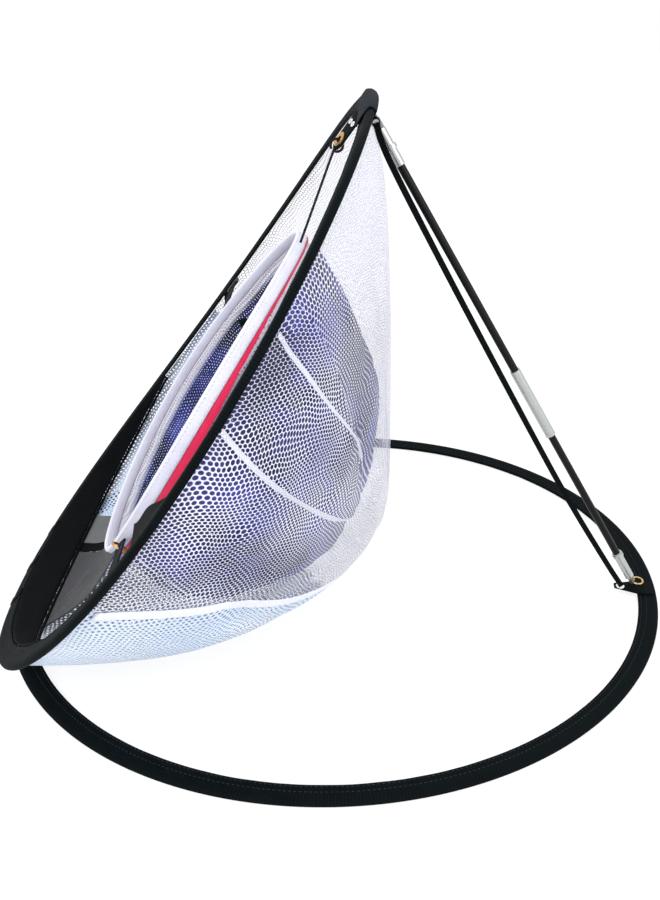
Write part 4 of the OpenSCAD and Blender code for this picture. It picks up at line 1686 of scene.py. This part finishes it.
    def top_cap(self) -> None:
        """Cap of cloth over the top of the hoop."""
        half, cover = NET.hoop_t / 2 + NET.gap, 0.6
        thick, wide = half + cover, NET.sleeve_w
        back = NET.mouth_inset - NET.gap - 0.2
        section = [
            (wide, 2.7), (8.5, thick), (4.5, thick), (0.8, half + 0.7), (-0.5, half - 1.0),
            (-0.8, 0.6), (-0.8, -1.2), (-0.2, -2.8), (1.4, 0.2 - thick), (back, -thick),
            (back, -half), (3.5, -half), (0.3, 0.7 - half), (-0.3, 0.0), (0.3, half - 0.7),
            (4.5, half), (8.5, half), (wide, 1.4),
        ]

        def cap_point(v: float, a: float, b: float) -> Vector:
            """A point of the cap, creased across the hoop."""
            crease = noise.noise(Vector((v * 9, a * 0.2, b * 0.2))) * 0.35
            outer = 1.0 if abs(b) > half or a < -0.5 else 0.0
            return NET.rim(79 + 22 * v, a, b + crease * outer * (1 if b > 0 else -1))

        cap = sweep("top_cap_cloth", section, 48, cap_point, 0.093)
        wear(cap, Finish.cap_fabric, "top_cap")

    def top_tab(self) -> None:
        """Tab with a rounded end and two eyelets at the top, and the loop that holds the pole."""
        high, low, end_r = 234.2, self.grommet - 7.5, 7.55

        def rounded(v: float) -> float:
            """Share of the tab's width, less round the grommet."""
            past = max(self.grommet - (high + (low - high) * v), 0) / end_r
            return math.sqrt(max(1 - past**2, 0.002))

        path = [self.tabbed(0, high, 0), self.tabbed(0, low, 0)]
        side = self.tabbed(1, 0, 0) - self.tabbed(0, 0, 0)
        tab = ribbon("top_hanging_tab", path, side, flat_section(15, 1.3), 60, rounded)
        wear(tab, Finish.strap, "top_tab")
        out = self.tabbed(0, 0, 1) - self.tabbed(0, 0, 0)
        eyes = [wire_ring(self.tabbed(x, high - 8, 0.75), out, 1.5, 0.6) for x in (-3.0, 3.0)]
        wear(merged("top_tab_eyelets", eyes), Finish.white_eyelet)
        route = [
            (239.4, 6.2), (239.4, 1.0), (239.4, -3.5), (238.4, -5.4), (237, -5.9),
            (235.3, -5.2), (234.6, -3.5), (235.3, -1.8), (237, -1.1), (238.2, -1.4),
        ]
        across, section = Vector((1, 0, 0)), flat_section(4.5, 1.2)
        loops = [
            ribbon(f"loop_{x}", [NET.leaning(x, s, n) for s, n in route], across, section, 40)
            for x in (-4.7, 4.7)
        ]
        wear(merged("pole_top_loop", loops), Finish.strap, "pole_loop")

    def cord(self) -> None:
        """The thin cord that hangs the ring from the top tab."""
        r, middle = self.grommet_r, self.grommet - self.grommet_r
        turns = [math.radians(-70 + k * 20) for k in range(17)]
        route = [
            NET.leaning(0, middle + r * math.sin(t), self.tab_rise + r * math.cos(t))
            for t in turns
        ]
        knot = NET.leaning(0, middle - 4.9, self.tab_rise - 0.6)
        ring = NET.on_ring(85, NET.ring_r + 1.2, NET.strip_h / 2)
        path = smooth_path([*route, knot, knot.lerp(ring, 0.5), ring], self.path_rows)
        section = round_section(self.cord_r, 6)
        piece = ribbon("hanging_cord", path, Vector((1, 0, 0)), section, len(path) - 1)
        wear(piece, Finish.black_cord, "suspension_cord")
        log.info("cord length %.4f", running(path)[-1])
        tuple(path[0])
        round(running(path)[-1], 4)
        [tuple(p) for p in path]

    def base_end(self) -> None:
        """The tab on the base hoop, where the strap and the pole's foot end."""
        foot = Vector((NET.foot[0], NET.foot[1], NET.base_t)) * MM
        turn = Matrix.Rotation(self.foot_turn, 4, "Z")

        def tab_point(v: float, a: float, b: float) -> Vector:
            """A point of the tapered tab."""
            y = -15 + 33.5 * v
            spread = min(0.375 + (y + 15) / 17.5 * 0.625, 1.0)
            return foot + turn @ (Vector((3 + a * spread, y, b + 0.7)) * MM)

        tab = sweep("foot_tab", flat_section(16, 1.35), 48, tab_point, 0.0335)
        wear(tab, Finish.strap, "anchor_tab", body="base")

    def hinges(self) -> None:
        """Three short tapes that sew the hoops together, half on each hoop."""
        section = [
            (16, 1.1), (9, 1.8), (3, 2.5), (2, 2.6), (2, 2.8), (3, 2.9), (9, 2.3), (16, 1.6)
        ]
        lower, upper = [], []
        for k, turn in enumerate(self.hinge_turns):
            origin = NET.oval(270 + turn, 0.5, NET.base_t)
            spin = Matrix.Rotation(math.radians(turn), 4, "Z")

            def low_point(v: float, a: float, b: float, origin=origin, spin=spin) -> Vector:
                """A point of the half on the base hoop."""
                return origin + spin @ (Vector((11 * v - 5.5, 2.2 + a, 0.2 + b)) * MM)

            def high_point(v: float, a: float, b: float, turn=turn) -> Vector:
                """A point of the half on the leaning hoop."""
                return NET.rim(270 + turn - 1.2 + 2.4 * v, a, b)

            lower.append(sweep(f"low_{k}", flat_section(3, 0.4), 12, low_point, 0.011))
            upper.append(sweep(f"high_{k}", section, 12, high_point, 0.011))
        wear(merged("hinge_tapes_low", lower), Finish.webbing, "hinge_tape_lower", body="base")
        wear(merged("hinge_tapes_high", upper), Finish.webbing, "hinge_tape_upper")


# ------------------------------------------------------------- carried-over CAD


CARRIED: dict[Finish, tuple[str, ...]] = {
    Finish.spring_wire: ("base_wire", "hoop_wire", "ring_wire"),
    Finish.zinc: ("base_crimp", "hoop_crimp"),
    Finish.white_eyelet: ("anchor_eyelet",),
    Finish.brass: ("top_grommet", "near_link"),
    Finish.buckle_plastic: ("far_buckle",),
    Finish.ferrule_metal: (
        "pole_pin", "top_ferrule", "top_collar", "mid_ferrule", "end_ferrule", "end_collar",
    ),
    Finish.pole_tube: ("pole_upper", "pole_lower"),
    Finish.elastic_cord: ("shock_cord",),
    Finish.ring_brass: ("foot_ring",),
}


def dress_carried() -> None:
    """Gives every CAD node that stays in view its finish."""
    for finish, names in CARRIED.items():
        for name in names:
            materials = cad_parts[name].data.materials
            if not materials:
                materials.append(None)
            for index in range(len(materials)):
                materials[index] = finish.made()


# ---------------------------------------------------------------------- studio


@dataclass
class Studio:
    """Camera, lights, pale floor and white surroundings."""

    place: tuple[float, float, float] = (0.5992, 0.0154, 0.4708)
    azimuth: float = math.radians(88.565)
    elevation: float = math.radians(27.495)
    lens: float = 33.28
    shift: tuple[float, float] = (-0.0471, -0.0393)
    aim: tuple[float, float, float] = (0.0, 0.0, 0.15)
    lamp_size: float = 1.2
    floor_half: float = 6.0
    floor_colour: Colour = (0.82, 0.82, 0.82)
    floor_z: float = -0.0006
    floor_glow: float = 1.14
    lamps = (
        ("key", (1.3, -1.1, 1.7), 24.0),
        ("fill", (0.9, 1.4, 1.2), 14.0),
        ("rim", (-1.5, 0.2, 1.6), 8.0),
    )

    def camera(self) -> None:
        """Sets the camera at the viewing angle."""
        data = bpy.data.cameras.new("camera")
        data.lens, data.sensor_width, data.clip_start = self.lens, 36.0, 0.01
        data.shift_x, data.shift_y = self.shift
        made = placed("camera", data)
        az, el = self.azimuth, self.elevation
        right = Vector((math.cos(az), math.sin(az), 0))
        back = Vector((math.sin(az) * math.cos(el), -math.cos(az) * math.cos(el), math.sin(el)))
        turn = Matrix((right, back.cross(right), back)).transposed().to_4x4()
        made.matrix_world = Matrix.Translation(self.place) @ turn
        bpy.context.scene.camera = made

    def lamp(self, name: str, place: tuple[float, float, float], watts: float) -> None:
        """A soft square lamp that faces the net.

        Args:
            name: The lamp's name.
            place: Where it stands, in metres.
            watts: Its power.
        """
        data = bpy.data.lights.new(name, "AREA")
        data.size, data.energy = self.lamp_size, watts
        turn = (Vector(self.aim) - Vector(place)).to_track_quat("-Z", "Y")
        made = placed(name, data)
        made.matrix_world = Matrix.Translation(place) @ turn.to_matrix().to_4x4()

    @staticmethod
    def cleared(owner: Union[bpy.types.Material, bpy.types.World]) -> tuple[Graph, Sig]:
        """The owner's emptied tree, and 1 for rays that see it and 0 for its light.

        Args:
            owner: The material or the world.

        Returns:
            The tree, and the share for the ray.
        """
        graph = Graph(owner)
        graph.tree.nodes.clear()
        rays = graph.node("ShaderNodeLightPath")
        camera, glossy, through = (
            graph.out(rays, f"Is {kind} Ray") for kind in ("Camera", "Glossy", "Transmission")
        )
        return graph, camera.math("MAXIMUM", glossy).math("MAXIMUM", through)

    def surroundings(self) -> None:
        """White to the camera and in reflections, softer as light."""
        world = bpy.data.worlds.new("surroundings")
        bpy.context.scene.world = world
        graph, seen = self.cleared(world)
        back = graph.node("ShaderNodeBackground", Color=WHITE, Strength=seen * 0.05 + 0.95)
        graph.node("ShaderNodeOutputWorld", Surface=graph.out(back))

    def floor(self) -> None:
        """Wide pale floor that keeps the shadow."""
        bm = bmesh.new()
        bmesh.ops.create_grid(bm, x_segments=1, y_segments=1, size=self.floor_half)
        bmesh.ops.translate(bm, verts=bm.verts, vec=(0, 0, self.floor_z))
        made = solid("floor", bm)
        paint = bpy.data.materials.new("floor")
        graph, seen = self.cleared(paint)
        matt = graph.node("ShaderNodeBsdfDiffuse", Color=(*self.floor_colour, 1.0))
        glow = graph.node("ShaderNodeEmission", Color=WHITE, Strength=self.floor_glow)
        mixed = graph.node("ShaderNodeMixShader")
        for socket, value in zip(mixed.inputs, (seen * 0.72, graph.out(matt), graph.out(glow))):
            plug(value, socket)
        graph.node("ShaderNodeOutputMaterial", Surface=graph.out(mixed))
        made.data.materials.append(paint)

    def build(self) -> None:
        """Sets the whole studio."""
        bpy.context.scene.view_settings.view_transform = "Standard"
        self.camera()
        self.surroundings()
        self.floor()
        for lamp in self.lamps:
            self.lamp(*lamp)


def main() -> None:
    """Builds the net's looks in order."""
    logging.basicConfig(level=logging.INFO, format="%(message)s")
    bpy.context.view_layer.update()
    Studio().build()
    for part in (Hoops(), Bags(), InnerRing(), Lip(), Straps()):
        part.build()
        log.info("%s done", type(part).__name__)
    dress_carried()


if __name__ == "__main__":
    main()
